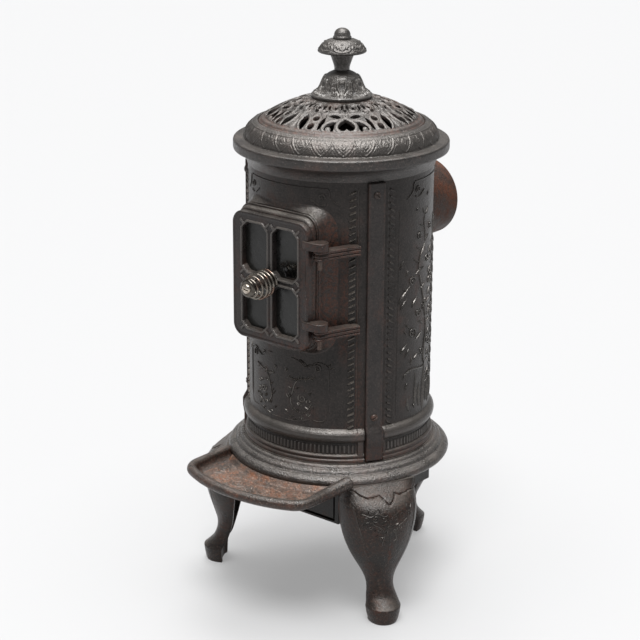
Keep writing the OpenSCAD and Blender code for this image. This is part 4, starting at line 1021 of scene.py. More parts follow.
def barrel_skin(name, a, front):
    k = 4
    deg = R0 * math.pi / 180
    if front:
        ph = spacing((-57, -50.4, 0.7), (-50.4, -42.6, 0.36), (-42.6, -33.5, 0.6), (-33.5, -31, 0.35), (-31, 31, 0.52), (31, 33.5, 0.35),
                     (33.5, 42.6, 0.6), (42.6, 50.4, 0.36), (50.4, 57, 0.7))
    else:
        ph = spacing((-57, -52, 0.8), (-52, -45, 0.4), (-45, 45, 0.62), (45, 52, 0.4), (52, 57, 0.8))
    zs = spacing((208.4, 211.6, 1.6), (211.6, 220, 0.62), (220, 234, 1.0), (234, 255, 0.9), (255, 578.6, 1.12 if front else 1.3))
    ph, zs = fit_blocks(ph, k), fit_blocks(zs, k)
    D, Z = np.meshgrid(ph, zs)                       # i along z, j along phi
    U = D * deg
    base = np.interp(Z, [p[0] for p in PLINTH], [p[1] for p in PLINTH])
    # plain block where the plinth's sunk band ends, and the plinth's end beside the seam strip
    zig = 46.0 if front else 49.0
    band_end = zig + 3.3
    base = np.where(Z < 236, np.maximum(base, 125.0 * sstep(band_end, band_end + 0.5, np.abs(D)) * (Z > 210)), base)
    base = R0 + (base - R0) * (1 - sstep(53.7, 54.1, np.abs(D)))
    Rl = Relief(U, Z)
    # sunk ground of the zigzag, between two lines
    x = (np.abs(D) - zig) * deg
    chan = sstep(5.4, 4.7, np.abs(x)) * sstep(250.2, 251.2, Z) * (1 - sstep(569.6, 570.4, Z))
    Rl.H = Rl.H - 0.5 * chan
    for s in (1, -1):
        Rl.stroke([(s * (zig + 3.35) * deg, 250), (s * (zig + 3.35) * deg, 570)], 0.95, 0.75)
        Rl.stroke([(s * (zig + 4.2) * deg, 250), (s * (zig + 4.2) * deg, 570)], 0.8, 0.35, mode="sink")
    H = Rl.H
    # tongues in the plinth's sunk band
    per = 5.35
    t = ((U / per) % 1.0 - 0.5) * per
    tongue = np.clip(1 - (np.abs(t) / 1.75) ** 2.4, 0, 1) * sstep(219.6, 221.0, Z) * (1 - sstep(229.9 + 0.9 * np.cos(t), 232.0, Z))
    pit = (Z > 219) & (Z < 234.5) & (np.abs(D) < band_end - 0.3)
    H = np.where(pit, H + 2.3 * np.sqrt(tongue) - 0.9, H)
    co = casting(R0 * np.sin(np.radians(D + a)), -R0 * np.cos(np.radians(D + a)), Z, 3)
    r = base + 0.22 + H + np.maximum(co, -0.12) * 0.8
    ang = np.radians(D + a)
    top = np.stack([r * np.sin(ang), -r * np.cos(ang), Z], -1)
    rb = np.full_like(r, 118.9)
    bot = np.stack([rb * np.sin(ang), -rb * np.cos(ang), Z], -1)
    # blocks kept: not behind the door's neck, not in the flue
    bi, bj = (len(zs) - 1) // k, (len(ph) - 1) // k
    keep = np.ones((bi, bj), bool)
    X, Y = top[..., 0], top[..., 1]
    for bz in range(bi):
        for bp in range(bj):
            xs = X[bz * k:(bz + 1) * k + 1, bp * k:(bp + 1) * k + 1]
            z0, z1 = zs[bz * k], zs[(bz + 1) * k]
            if front:
                if xs.max() > -58 and xs.min() < 58 and z1 > 368 and z0 < 530 and (z0 > 361 and z1 < 537):
                    keep[bz, bp] = False
            else:
                ys = Y[bz * k:(bz + 1) * k + 1, bp * k:(bp + 1) * k + 1]
                if ys.max() > 0:
                    cx, cz = np.clip(0, xs.min(), xs.max()), np.clip(496, z0, z1)
                    if math.hypot(cx, cz - 496) < 53:
                        keep[bz, bp] = False
    tint = np.zeros_like(r)
    if front:
        # rust where water has run from the arms and along the neck's right side, and beside the right seam
        tint += 0.42 * sstep(36, 41, D) * (1 - sstep(46, 52, D)) * sstep(330, 372, Z) * (1 - sstep(505, 530, Z))
        tint += 0.35 * sstep(45, 48, D) * (1 - sstep(50, 54, D)) * (1 - sstep(300, 420, Z))
    tint += 0.30 * sstep(50, 54, np.abs(D)) * (1 - sstep(215, 330, Z))
    tint += 0.35 * (1 - sstep(212, 226, Z))
    # the plinth's bead is marked polished, which also paints a highlight on its top
    return block_shell(name, top, bot, k, "stove", M["barrel_iron"], keep=keep, flip=True,
                       attrs={"relief": H, "tint": tint, "polish_and_highlight": 0.42 * sstep(254, 250, Z) * (0.5 + 0.5 * sstep(232, 240, Z))}, sharp=50)


barrel_skin("front_panel_relief", 0.0, True)
barrel_skin("right_panel_relief", 120.0, False)
barrel_skin("left_panel_relief", -120.0, False)
panel_ornament("front_panel_ornament", 0.0, True)
panel_ornament("right_panel_ornament", 120.0, False)
panel_ornament("left_panel_ornament", -120.0, False)


def strip(name, a, z1, node):
    """Cover strip over a seam, with soft edges."""
    zs = fit_blocks(spacing((209, 212, 1.0), (212, 224, 3.0), (224, 262, 1.5), (262, z1 - 3, 6.0), (z1 - 3, z1, 0.75)), 2)
    ph = fit_blocks(spacing((-5.25, -4.6, 0.13), (-4.6, 4.6, 0.8), (4.6, 5.25, 0.13)), 2)
    D, Z = np.meshgrid(ph, zs)
    prof = np.interp(Z, [209, 226, 236, 247, 256, 259, 579], [128.5, 128.5, 130.3, 130.3, 125.5, 124.5, 124.5])
    e = np.minimum((5.25 - np.abs(D)) * 2.18, np.minimum(z1 - Z, Z - 209) * 1.0)
    rr = 1.3
    drop = rr - np.sqrt(np.maximum(rr * rr - (rr - np.clip(e, 0, rr)) ** 2, 0))
    co = casting(120 * np.sin(np.radians(D + a)), -120 * np.cos(np.radians(D + a)), Z, 9)
    r = prof - drop * 0.9 + np.maximum(co, -0.1) * 0.8
    ang = np.radians(D + a)
    top = np.stack([r * np.sin(ang), -r * np.cos(ang), Z], -1)
    rb = np.full_like(r, 119.6)
    bot = np.stack([rb * np.sin(ang), -rb * np.cos(ang), Z], -1)
    tint = 0.35 * (1 - sstep(212, 250, Z)) + 0.25 * sstep(3.4, 5.2, np.abs(D))
    block_shell(name, top, bot, 2, "stove", M["strip_iron"], flip=True,
                attrs={"relief": -0.25 * (drop > 0.6), "tint": tint}, replaces=(node,), sharp=50)


strip("right_strip", 60.0, 578.0, "seam_strip_right")
strip("left_strip", -60.0, 578.0, "seam_strip_left")
strip("rear_strip", 180.0, 422.0, "seam_strip_rear")


def neck_fillet():
    """Ridges round the door's neck and a hollow fillet that dies away on the barrel."""
    hw, hh, rc, zc = 59.9, 82.4, 16.0, 449.0
    pts, nrm = [], []

    def arc(cx, cz, a0, a1, n):
        for i in range(n):
            a = math.radians(a0 + (a1 - a0) * i / n)
            pts.append((cx + rc * math.cos(a), cz + rc * math.sin(a)))
            nrm.append((math.cos(a), math.sin(a)))

    def line(p, q, nn, n):
        for i in range(n):
            t = i / n
            pts.append((p[0] + (q[0] - p[0]) * t, p[1] + (q[1] - p[1]) * t))
            nrm.append(nn)
    line((hw, zc - hh + rc), (hw, zc + hh - rc), (1, 0), 60)
    arc(hw - rc, zc + hh - rc, 0, 90, 16)
    line((hw - rc, zc + hh), (-hw + rc, zc + hh), (0, 1), 50)
    arc(-hw + rc, zc + hh - rc, 90, 180, 16)
    line((-hw, zc + hh - rc), (-hw, zc - hh + rc), (-1, 0), 60)
    arc(-hw + rc, zc - hh + rc, 180, 270, 16)
    line((-hw + rc, zc - hh), (hw - rc, zc - hh), (0, -1), 50)
    arc(hw - rc, zc - hh + rc, 270, 360, 16)
    P, N = np.array(pts), np.array(nrm)
    X0 = P[:, 0] + N[:, 0] * 4.4
    base0 = np.sqrt(R0 ** 2 - X0 * X0)
    ones = np.ones(len(P))
    # two bold ridges, wider at the top, then the hollow fillet: (side offset, top offset, distance in front of the axis)
    up = np.clip(N[:, 1], 0, 1) ** 1.4
    prof = [(-1.0, -1.0, 133.35)]
    prof += [(-0.9 + 3.4 * math.sin(t), -0.7 + 6.7 * math.sin(t), 133.3 - 6.6 * (1 - math.cos(t))) for t in np.radians([0, 8, 18, 30, 44, 58, 72, 84, 92])]
    prof += [(1.9, 5.1, 126.4), (0.3, 3.0, 126.25), (0.3, 3.0, 125.45), (1.9, 5.1, 125.3)]
    prof += [(2.4 + 1.6 * math.cos(t), 6.6 + 1.8 * math.cos(t), 124.2 - 1.4 * math.sin(t)) for t in np.radians(np.linspace(-70, 70, 9))]
    prof += [(2.4, 6.4, 122.7), (1.0, 4.6, 122.6), (1.0, 4.6, 121.95), (3.2, 7.4, 121.85)]
    n1 = len(prof)
    tops, bots = [], []
    low = np.minimum(121.8, base0 + 12.0)
    for k in range(5):
        prof.append((4.2 + 0.1 * k, 8.0 + 0.15 * k, None))
    for n, (os_, ot, y) in enumerate(prof):
        o = os_ + (ot - os_) * up
        X, Z = P[:, 0] + N[:, 0] * o, P[:, 1] + N[:, 1] * o
        if y is None:
            y = 121.85 + (low - 121.85) * (n - n1 + 1) / 5.0
        tops.append(np.stack([X, -y * ones, Z], -1))
        base = np.sqrt(np.maximum(R0 ** 2 - X * X, 0))
        Xi, Zi = P[:, 0] - N[:, 0] * 0.8, P[:, 1] - N[:, 1] * 0.8
        bots.append(np.stack([Xi, -(base - 1.6 + (131.5 - base + 1.6) * max(0.0, 1 - n / (n1 + 4.0))), Zi], -1))
    m = 12
    start = low - base0
    for i in range(1, m + 1):
        t = i / m
        o = 4.6 + 4.0 * up + 8.9 * t
        X, Z = P[:, 0] + N[:, 0] * o, P[:, 1] + N[:, 1] * o
        base = np.sqrt(np.maximum(R0 ** 2 - X * X, 0)) + 0.2
        y = base + start * (1 - np.sin(t * math.pi / 2)) ** 1.1
        tops.append(np.stack([X, -y, Z], -1))
        q = t
        Xi, Zi = P[:, 0] + N[:, 0] * (o * q - 0.8 * (1 - q)), P[:, 1] + N[:, 1] * (o * q - 0.8 * (1 - q))
        bi = np.sqrt(np.maximum(R0 ** 2 - Xi * Xi, 0))
        bots.append(np.stack([Xi, -(bi - 1.6), Zi], -1))
    top, bot = np.array(tops), np.array(bots)
    co = casting(top[..., 0], top[..., 1], top[..., 2], 5)
    top[..., 1] -= np.maximum(co, -0.1) * 0.8
    tint = 0.12 + 0.5 * sstep(54, 68, top[..., 0]) * sstep(350, 372, top[..., 2]) * (1 - 0.75 * sstep(528, 546, top[..., 2]))
    # painted highlight, with wear, over the neck's top right corner
    worn_and_highlight = 0.6 * np.exp(-((top[..., 0] - 50) / 15) ** 2) * sstep(522, 544, top[..., 2])
    grid_shell("neck_fillet", top, bot, "stove", M["neck_iron"], wrap=True, flip=False,
               attrs={"relief": np.zeros(top.shape[:2]), "tint": tint, "polish_and_highlight": worn_and_highlight}, sharp=40)


neck_fillet()


# ------------------------------------------------------------------ top rim
def top_rim():
    b = 139.4
    cove = smooth_profile([(121.3, 579), (122.2, 582), (124, 586), (127.4, 590.6), (132, 594.4), (136.6, 596.8), (b - 0.6, 597.5)], 2.2, 2)
    edge = smooth_profile([(b - 0.6, 597.5), (b - 0.05, 598.8), (b, 601), (b, 605), (b - 0.05, 607.2), (b - 0.7, 609.3), (b - 2.2, 610)], 0.9, 1)
    flat = refine([(b - 2.2, 610), (127.2, 610.6)], 2.4, closed=False)
    ov = smooth_profile([(127.2, 610.6), (125.6, 611.0), (125.3, 612.4), (125.2, 614.2), (124.4, 618.2), (122.6, 622.2), (119.6, 626.2), (115.8, 629.6),
                         (111.4, 632), (109, 632.75), (107.8, 633), (107.15, 632.3)], 0.82, 1)
    outer = np.concatenate([cove[:-1], edge[:-1], flat[:-1], ov])
    inner = np.array([(107.1, 628), (99.5, 628), (99.5, 624), (104.6, 623.6), (111.5, 620.6), (117, 615), (119, 609), (119, 592), (117, 588),
                      (90, 588), (90, 583), (112, 583), (112, 570), (114.6, 570), (114.6, 579)])
    i0 = len(cove) - 1 + len(edge) - 1 + len(flat) - 1
    pitch = math.radians(360 / 28)
    ph0 = math.radians(39.9)

    def relief(P, S, R, Z):
        H = np.maximum(casting(R * np.sin(P), -R * np.cos(P), Z, 21), -0.1) * (S < 60)
        s0 = S[i0, 0] + 2.0
        w = 28.2
        loc = ((P - ph0 + pitch / 2) % pitch) / pitch * w - w / 2
        V = (S - s0) / 1.3
        band = i0
        L = Relief(loc[band:], V[band:])
        for k in (-1, 0, 1):
            def Q(*pts):
                return [(k * w + a, c) for a, c in pts]
            for s in (1, -1):
                L.stroke(bezier(*Q((0, 0.6), (s * 5.5, 4.0), (s * 11.5, 7.5), (s * 14.1, 17.0))), 1.15, 1.15)
                L.stroke(bezier(*Q((0, 4.4), (s * 4.0, 6.6), (s * 8.6, 9.4), (s * 10.8, 16.6))), 0.6, 0.5)
                L.stroke(Q((0, 7.2), (s * 3.1, 10.8), (0, 14.6)), 0.75, 0.75)
                L.stroke(Q((s * 7.6, 1.4), (s * 14.1, 8.4)), 0.95, 0.9)
                L.leaf(*Q((s * 4.6, 16.4), (s * 8.2, 11.0)), 1.3, 0.6)
            L.stroke(Q((-14.1, 17.2), (14.1, 17.2)), 0.7, 0.6)
            L.knob(Q((0, 10.9))[0], 1.2, 0.8)
            L.knob(Q((14.1, 2.6))[0], 1.3, 0.9)
            L.stroke(Q((11.2, 1.2), (14.1, 5.2), (17.0, 1.2)), 0.55, 0.5)
        f = 0.72 * L.H - 0.35 * sstep(-0.6, 0.8, V[band:]) * (1 - sstep(16.4, 17.4, V[band:]))
        H = H.copy()
        H[band:] += f
        return H
    # the ovolo is marked polished, which also paints a highlight on it
    ovolo_polish_and_highlight = np.zeros((len(outer) + len(inner), 28 * 32))
    ovolo_polish_and_highlight[i0:len(outer)] = 0.75
    return revolve("top_rim_cast", outer, inner, 28 * 32, "stove", M["top_iron"], relief, ("top_rim",), sharp=55, attrs={"polish_and_highlight": ovolo_polish_and_highlight.ravel()})


top_rim()


# ------------------------------------------------------------------ pierced dome
def dome_sheet():
    nseg = 652
    rs = spacing((4.6, 34, 3.0), (34, 40, 1.5), (40, 99.5, 0.98), (99.5, 106.8, 1.05))
    phi = np.arange(nseg) * 2 * math.pi / nseg
    P, R = np.meshgrid(phi, rs)
    heart = math.radians(42.5)
    q = math.pi / 2
    d = np.abs(((P - heart + q / 2) % q) - q / 2)
    U, V = R * np.sin(d), R * np.cos(d)

    def at(dd, r):
        return (r * math.sin(math.radians(dd)), r * math.cos(math.radians(dd)))

    def turned_oval(dd, r, ru, rv):
        return oval(at(dd, r), ru, rv, tilt=-dd)
    hearthole = np.array([(-0.4, 77.2), (2.6, 80.0), (6.2, 83.2), (9.2, 86.8), (10.4, 90.2), (9.9, 93.4), (7.8, 96.2), (4.9, 97.4), (2.3, 96.4), (0.6, 94.0),
                          (-0.6, 94.0), (-2.3, 96.4), (-4.9, 97.4), (-7.8, 96.2), (-9.9, 93.4), (-10.4, 90.2), (-9.2, 86.8), (-6.2, 83.2), (-2.6, 80.0)])
    quarter = [at(8.2, 82.2), at(11.6, 82.6), at(15.2, 86.2), at(17.2, 91.0), at(17.4, 96.6), at(14.5, 98.3), at(10.2, 98.0), at(9.6, 93.6), at(9.7, 88.0)]
    upper = [at(3.6, 74.4), at(6.8, 70.2), at(11.0, 68.4), at(14.6, 69.4), at(15.6, 72.4), at(12.0, 75.2), at(7.8, 76.4)]
    holes = {
        "heart": hearthole, "quarter": quarter, "upper": upper,
        "slot": lens(at(19.0, 74.5), at(21.9, 98.0), 3.0),
        "ring1": turned_oval(27.2, 78.6, 3.9, 4.3),
        "ring2": turned_oval(28.4, 92.6, 3.9, 4.9),
        "lens": lens(at(38.6, 73.5), at(35.3, 99.0), 4.9),
        "small1": turned_oval(21.5, 64.5, 3.2, 2.2), "small2": turned_oval(33.0, 62.5, 2.4, 3.0),
        "small3": turned_oval(0, 60.5, 2.6, 2.2),
        "in1": lens(at(20.4, 47.5), at(18.6, 59.5), 2.0), "in2": lens(at(2.6, 46.5), at(4.4, 58.0), 1.7), "in3": lens(at(42.6, 46.5), at(41.0, 58.5), 1.8),
        "in4": lens(at(25.4, 47.5), at(26.8, 59.0), 1.7), "in5": turned_oval(11.25, 54.5, 2.0, 2.9), "in6": turned_oval(33.75, 54.5, 2.0, 2.9),
    }
    sd = {k: poly_sd(U, V, v) for k, v in holes.items()}
    ball = np.hypot(U - at(14.2, 95.6)[0], V - at(14.2, 95.6)[1]) - 3.7
    sd["quarter"] = np.maximum(sd["quarter"], -ball)
    f = np.minimum.reduce(list(sd.values()))
    L = Relief(U, V)
    # frame of the heart
    t = np.clip(sd["heart"] / 4.8, 0, 1)
    L.H = np.maximum(L.H, 1.25 * np.sqrt(np.maximum(1 - (2 * t - 1) ** 2, 0)) * (sd["heart"] < 4.8))
    L.stroke(bezier(at(0, 75.2), at(2.5, 72.0), at(2.0, 70.5), at(0, 68.5)), 1.9, 1.1)
    L.stroke([at(5.0, 79.0), at(9.5, 79.3), at(13.6, 81.4), at(16.8, 85.2), at(18.8, 90.2), at(19.0, 95.2), at(17.6, 98.0)], 2.1, 1.3)
    L.knob(at(14.2, 95.6), 3.9, 2.1)
    L.stroke([at(0, 69.0), at(4.5, 66.6), at(10, 65.6), at(15, 66.6), at(17.8, 70.0), at(17.0, 74.5), at(12.5, 77.5)], 1.8, 1.1)
    for k in ("ring1", "ring2"):
        t = np.clip(sd[k] / 3.6, 0, 1)
        L.H = np.maximum(L.H, 1.25 * np.sqrt(np.maximum(1 - (2 * t - 1) ** 2, 0)) * (sd[k] < 3.6))
    t = np.clip((sd["lens"] - 0.2) / 3.4, 0, 1)
    L.H = np.maximum(L.H, 1.25 * np.sqrt(np.maximum(1 - (2 * t - 1) ** 2, 0)) * (sd["lens"] < 3.6) * (sd["lens"] > 0.2))
    L.stroke([at(24.2, 74), at(23.6, 84), at(24.4, 97)], 1.2, 0.9)
    L.leaf(at(45, 98), at(45, 82), 4.6, 1.3)
    L.leaf(at(45, 80), at(45, 62), 3.6, 1.3)
    L.stroke([at(33.2, 98), at(33.4, 88), at(32.6, 78), at(30, 70)], 1.3, 1.0)
    # inner row of ovals, scrolls and leaves
    for dd in (11.25, 33.75):
        t = turned_oval(dd, 54.5, 5.6, 7.0)
        L.stroke(np.concatenate([t, t[:1]]), 1.9, 1.6)
        L.leaf(at(dd, 40), at(dd, 46.5), 2.6, 1.4)
        L.stroke(bezier(at(dd - 8.4, 47), at(dd - 5, 41.5), at(dd + 5, 41.5), at(dd + 8.4, 47)), 1.4, 1.2)
    for dd in (0, 22.5, 45):
        t = turned_oval(dd, 64.0, 4.4, 3.2)
        L.stroke(np.concatenate([t, t[:1]]), 1.5, 1.4)
        L.leaf(at(dd, 60), at(dd, 49), 2.3, 1.4)
        L.knob(at(dd, 45.5), 1.7, 1.3)
    for a, b, w in (((37, 72), (38, 66), 2.0), ((6.4, 65.5), (8.0, 62.0), 1.6), ((29, 70), (28, 65), 1.9)):
        L.leaf(at(*a), at(*b), w, 1.25)
    inside_edge = sstep(97.6, 99.0, R)
    H = L.H * (1 - inside_edge)
    H = H + 0.75 * np.exp(-((R - 101.6) / 2.0) ** 2) - 0.25 * np.exp(-((R - 98.9) / 0.7) ** 2)
    H = H - 0.9 * sstep(105.3, 106.8, R) ** 2 - 0.8 * np.exp(-((R - 104.4) / 0.7) ** 2)
    H = H * sstep(36.5, 39, R)
    co = casting(R * np.sin(P), -R * np.cos(P), 620.0 + 0 * R, 22)
    zt = 477.42 + np.sqrt(188.0 ** 2 - R ** 2) + H + np.maximum(co, -0.1) * 0.8
    zb = 477.42 + np.sqrt(184.6 ** 2 - np.minimum(R, 100) ** 2)
    zb = np.where(R > 99.8, 628.1, zb)
    top = np.stack([R * np.sin(P), -R * np.cos(P), zt], -1)
    bot = np.stack([R * np.sin(P), -R * np.cos(P), zb], -1)
    ff = np.where((R < 39) | (R > 99.3), 3.0, f)
    tint = 0.45 * value_noise(top[..., 0] / 20, top[..., 1] / 20, 0 * R, 5) + 0.12
    tint = np.where(R < 98, tint, 0.52 + 0.25 * value_noise(top[..., 0] / 9, top[..., 1] / 9, 0 * R, 6))
    tint = np.clip(tint, 0, 1)
    return sheet("dome_cast", ff, top, bot, "dome_top", M["top_iron"], wrap=True, flip=False,
                 attrs={"relief": H, "tint": tint}, replaces=("dome",), sharp=50)


dome_sheet()


# ------------------------------------------------------------------ finial
def finial():
    mat = M["finial_iron"]
    bell = smooth_profile([(37.6, 661.8), (38.7, 663), (38.9, 665.6), (38, 667), (33.4, 668.8), (29.6, 672.4), (27, 677.6), (25, 683), (22.4, 688.4),
                           (17.6, 692.6), (12.2, 695.2), (9.6, 696.5), (3.3, 696.6)], 0.75, 2)
    inner = np.array([(3.3, 692), (5, 692), (12, 690.8), (17, 687.4), (21.4, 681), (23.6, 674.6), (26.4, 668.6), (30, 664.4), (33, 662.7)])

    def rb(P, S, R, Z):
        n = 6
        w = 26.0
        loc = ((P - math.radians(38.6) + math.pi / n) % (2 * math.pi / n)) / (2 * math.pi / n) - 0.5
        U = loc * 2 * math.pi / n * np.maximum(R, 12) * 1.0
        V = np.broadcast_to(Z - 662, U.shape)
        L = Relief(U, V)
        for s in (1, -1):
            # a forked leaf rising into a curl, between fluted leaves
            L.stroke(bezier((s * 1.6, 6), (s * 1.2, 12), (s * 6.2, 14), (s * 4.8, 20)), 1.4, 1.9)
            L.stroke(bezier((s * 4.8, 20), (s * 4.2, 26.0), (s * 0.8, 25), (s * 1.7, 21)), 1.1, 1.7)
            L.leaf((s * 3.2, 7), (s * 8.6, 13), 1.9, 1.7)
            for k, u in enumerate((8.2, 10.6, 13.0)):
                L.leaf((s * u, 5.2), (s * (u * 0.86), 29.5 - 1.5 * (k == 1)), 1.2, 1.8, vein=0.3)
            L.leaf((s * 4.4, 5.0), (s * 6.0, 10.0), 1.4, 1.5)
        L.leaf((0, 5.0), (0, 16), 1.7, 1.8)
        L.knob((0, 22.6), 1.9, 1.9)
        f = L.H * sstep(4.8, 5.6, V) * (1 - sstep(29.5, 31.5, V))
        ring = 0.55 * np.exp(-((V - 3.2) / 1.1) ** 2) - 0.35 * np.exp(-((V - 5.2) / 0.5) ** 2)
        return f + ring * (V < 8)
    revolve("bell_cast", bell, inner, 300, "dome_top", M["bell_iron"], rb, ("finial_bell",), sharp=50)

    cup = smooth_profile([(3.3, 696.6), (9.8, 696.7), (9.8, 699.4), (10.6, 703), (12.4, 708.4), (14.0, 712.6), (14.6, 715.6), (14.6, 718.2), (3.3, 718.2)], 0.8, 1)
    revolve("cup_cast", cup, [(3.2, 718.0), (3.2, 696.8)], 96, "dome_top", mat,
            lambda P, S, R, Z: 0.35 * np.exp(-((Z - 715.0) / 0.8) ** 2) * (R > 11) - 0.25 * np.exp(-((Z - 711.8) / 0.5) ** 2) * (R > 11), ("finial_cup",), sharp=50)

    cap = smooth_profile([(3.3, 718.0), (16, 718.0), (24, 718.4), (29.6, 719.2), (31.0, 720.2), (31.35, 721.4), (30.4, 723), (28.4, 725.4), (26.4, 728.4),
                          (23.6, 731.6), (20.6, 733.8), (17, 735.3), (14, 736.1), (3.3, 736.2)], 0.75, 1)

    def rc(P, S, R, Z):
        n = 7
        loc = ((P - math.radians(38.6) + math.pi / n) % (2 * math.pi / n)) / (2 * math.pi / n) - 0.5
        U = loc * 2 * math.pi / n * R
        s0 = np.interp(0, [0, 1], [0, 1])
        # distance up the curved upper face
        V = np.hypot(31.4 - R, Z - 721.4) * 1.15 * (Z > 721.2)
        L = Relief(U, V)
        for s in (1, -1):
            L.stroke(bezier((s * 1.0, 2.2), (s * 5, 3.5), (s * 11.5, 3.5), (s * 10.2, 9.0)), 1.15, 1.0)
            L.stroke(bezier((s * 10.2, 9.0), (s * 9.0, 13.0), (s * 4.8, 12.0), (s * 6.0, 8.6)), 1.0, 1.0)
            L.leaf((s * 1.4, 6.0), (s * 4.6, 13.5), 1.6, 1.0)
            L.leaf((s * 12.0, 14.0), (s * 8.4, 18.5), 1.4, 0.8)
        L.leaf((0, 3.2), (0, 13.0), 1.8, 1.1)
        L.knob((0, 16.0), 1.7, 1.0)
        f = 0.85 * L.H * (Z > 721.6) * sstep(1.0, 2.0, V) * (1 - sstep(18.5, 20.5, V))
        under = 0.25 * np.cos(P * 30) * (Z < 719) * sstep(14, 20, R) * (1 - sstep(27, 29.5, R))
        return f + under
    revolve("cap_cast", cap, [(3.2, 736.0), (3.2, 718.2)], 260, "dome_top", mat, rc, ("finial_cap",), sharp=50)

    bead = smooth_profile([(3.3, 736.2), (11.2, 736.2), (11.6, 737.4), (11.4, 739.2), (10.6, 740.2), (10.5, 742), (9.6, 744.8), (7.8, 747.2), (5.2, 748.9),
                           (2.6, 749.7), (0.05, 749.9)], 0.6, 1)
    revolve("bead_cast", bead, [(0.05, 743), (3.2, 743), (3.2, 736.4)], 96, "dome_top", mat,
            lambda P, S, R, Z: 0.3 * np.exp(-((Z - 738) / 0.7) ** 2) - 0.35 * np.exp(-((Z - 740.4) / 0.45) ** 2), ("finial_bead",), sharp=50)


finial()


# ------------------------------------------------------------------ door
ZC = 449.0
WINS = [(s * 25.0, (a + b) / 2, 20.0, (b - a) / 2) for s in (-1, 1) for a, b in ((379.8, 444.0), (454.6, 519.0))]


def rrect_sd(X, Z, cx, cz, hw, hh, r):
    qx, qz = np.abs(X - cx) - (hw - r), np.abs(Z - cz) - (hh - r)
    return np.hypot(np.maximum(qx, 0), np.maximum(qz, 0)) + np.minimum(np.maximum(qx, qz), 0) - r


def crect_sd(X, Z, cx, cz, hw, hh, c):
    """Distance to a rectangle with cut corners, negative inside."""
    x, z = np.abs(X - cx), np.abs(Z - cz)
    return poly_sd(x, z, [(-4 * hw, -4 * hh), (hw, -4 * hh), (hw, hh - c), (hw - c, hh), (-4 * hw, hh)])


def door_plate():
    xs = spacing((-62.6, -46, 0.72), (-46, -3.5, 0.85), (-3.5, 3.5, 0.9), (3.5, 46, 0.85), (46, 62.6, 0.72))
    zs = spacing((365.4, 381, 0.72), (381, 442, 1.0), (442, 457, 0.72), (457, 517, 1.0), (517, 532.6, 0.72))
    X, Z = np.meshgrid(xs, zs)
    e = -rrect_sd(X, Z, 0, ZC, 62.5, 83.5, 17)
    w = np.minimum.reduce([crect_sd(X, Z, *q, 8.0) for q in WINS])
    # a small hook of the window outline points into each cut corner
    f = np.minimum(e, w)
    y = 141.35 + 0 * X
    rim = np.clip(1 - ((e - 2.6) / 1.7) ** 2, 0, 1)
    y = y + 0.62 * np.sqrt(rim)
    y = y - 0.25 * np.exp(-((e - 5.4) / 0.8) ** 2)
    mold = np.clip(1 - ((w - 1.75) / 1.75) ** 2, 0, 1)
    y = y + 1.9 * np.sqrt(mold) - 0.4 * np.exp(-((w - 4.1) / 0.6) ** 2)
    corner = np.full_like(X, 9.0)
    for cx, cz, hw, hh in WINS:
        for sx in (-1, 1):
            for sz in (-1, 1):
                px, pz = cx + sx * (hw - 1.6), cz + sz * (hh - 1.6)
                ax, az = cx + sx * (hw + 2.6), cz + sz * (hh + 2.6)
                t = np.clip(((X - px) * (ax - px) + (Z - pz) * (az - pz)) / ((ax - px) ** 2 + (az - pz) ** 2), 0, 1)
                corner = np.minimum(corner, np.hypot(X - px - t * (ax - px), Z - pz - t * (az - pz)))
    y = np.maximum(y, 141.3 + 1.8 * np.sqrt(np.clip(1 - (corner / 2.0) ** 2, 0, 1)))
    d = np.hypot(X, Z - ZC)
    y = np.maximum(y, np.where(d < 12.4, 141.4 + 1.45 * np.sqrt(np.clip(1 - ((d - 9.4) / 3.2) ** 2, 0, 1)), 0))
    y = np.where(d < 9.4, 142.85, y)
    r = 1.5
    drop = lambda q: r - np.sqrt(np.maximum(r * r - (r - np.clip(q, 0, r)) ** 2, 0))
    y = y - drop(e) * 0.95 - 0.55 * drop(w)
    co = casting(X, 0 * X, Z, 31)
    y = y + np.maximum(co, -0.14) * 1.3
    f = np.where(d < 5.2, d - 5.1, f)
    top = np.stack([X, -y, Z], -1)
    bot = np.stack([X, -134.05 + 0 * X, Z], -1)
    tint = 0.3 * sstep(30, 62, X) * (0.4 + 0.6 * sstep(-1, 1, value_noise(X / 14, Z / 26, 0 * X, 4))) + 0.3 * sstep(-60, -84, Z - ZC) * sstep(-40, 30, X)
    sheet("door_plate", f, top, bot, "door", M["door_iron"], flip=True,
          attrs={"relief": y - 141.9, "tint": np.clip(tint, 0, 1)}, replaces=("door_frame",), sharp=48)


door_plate()


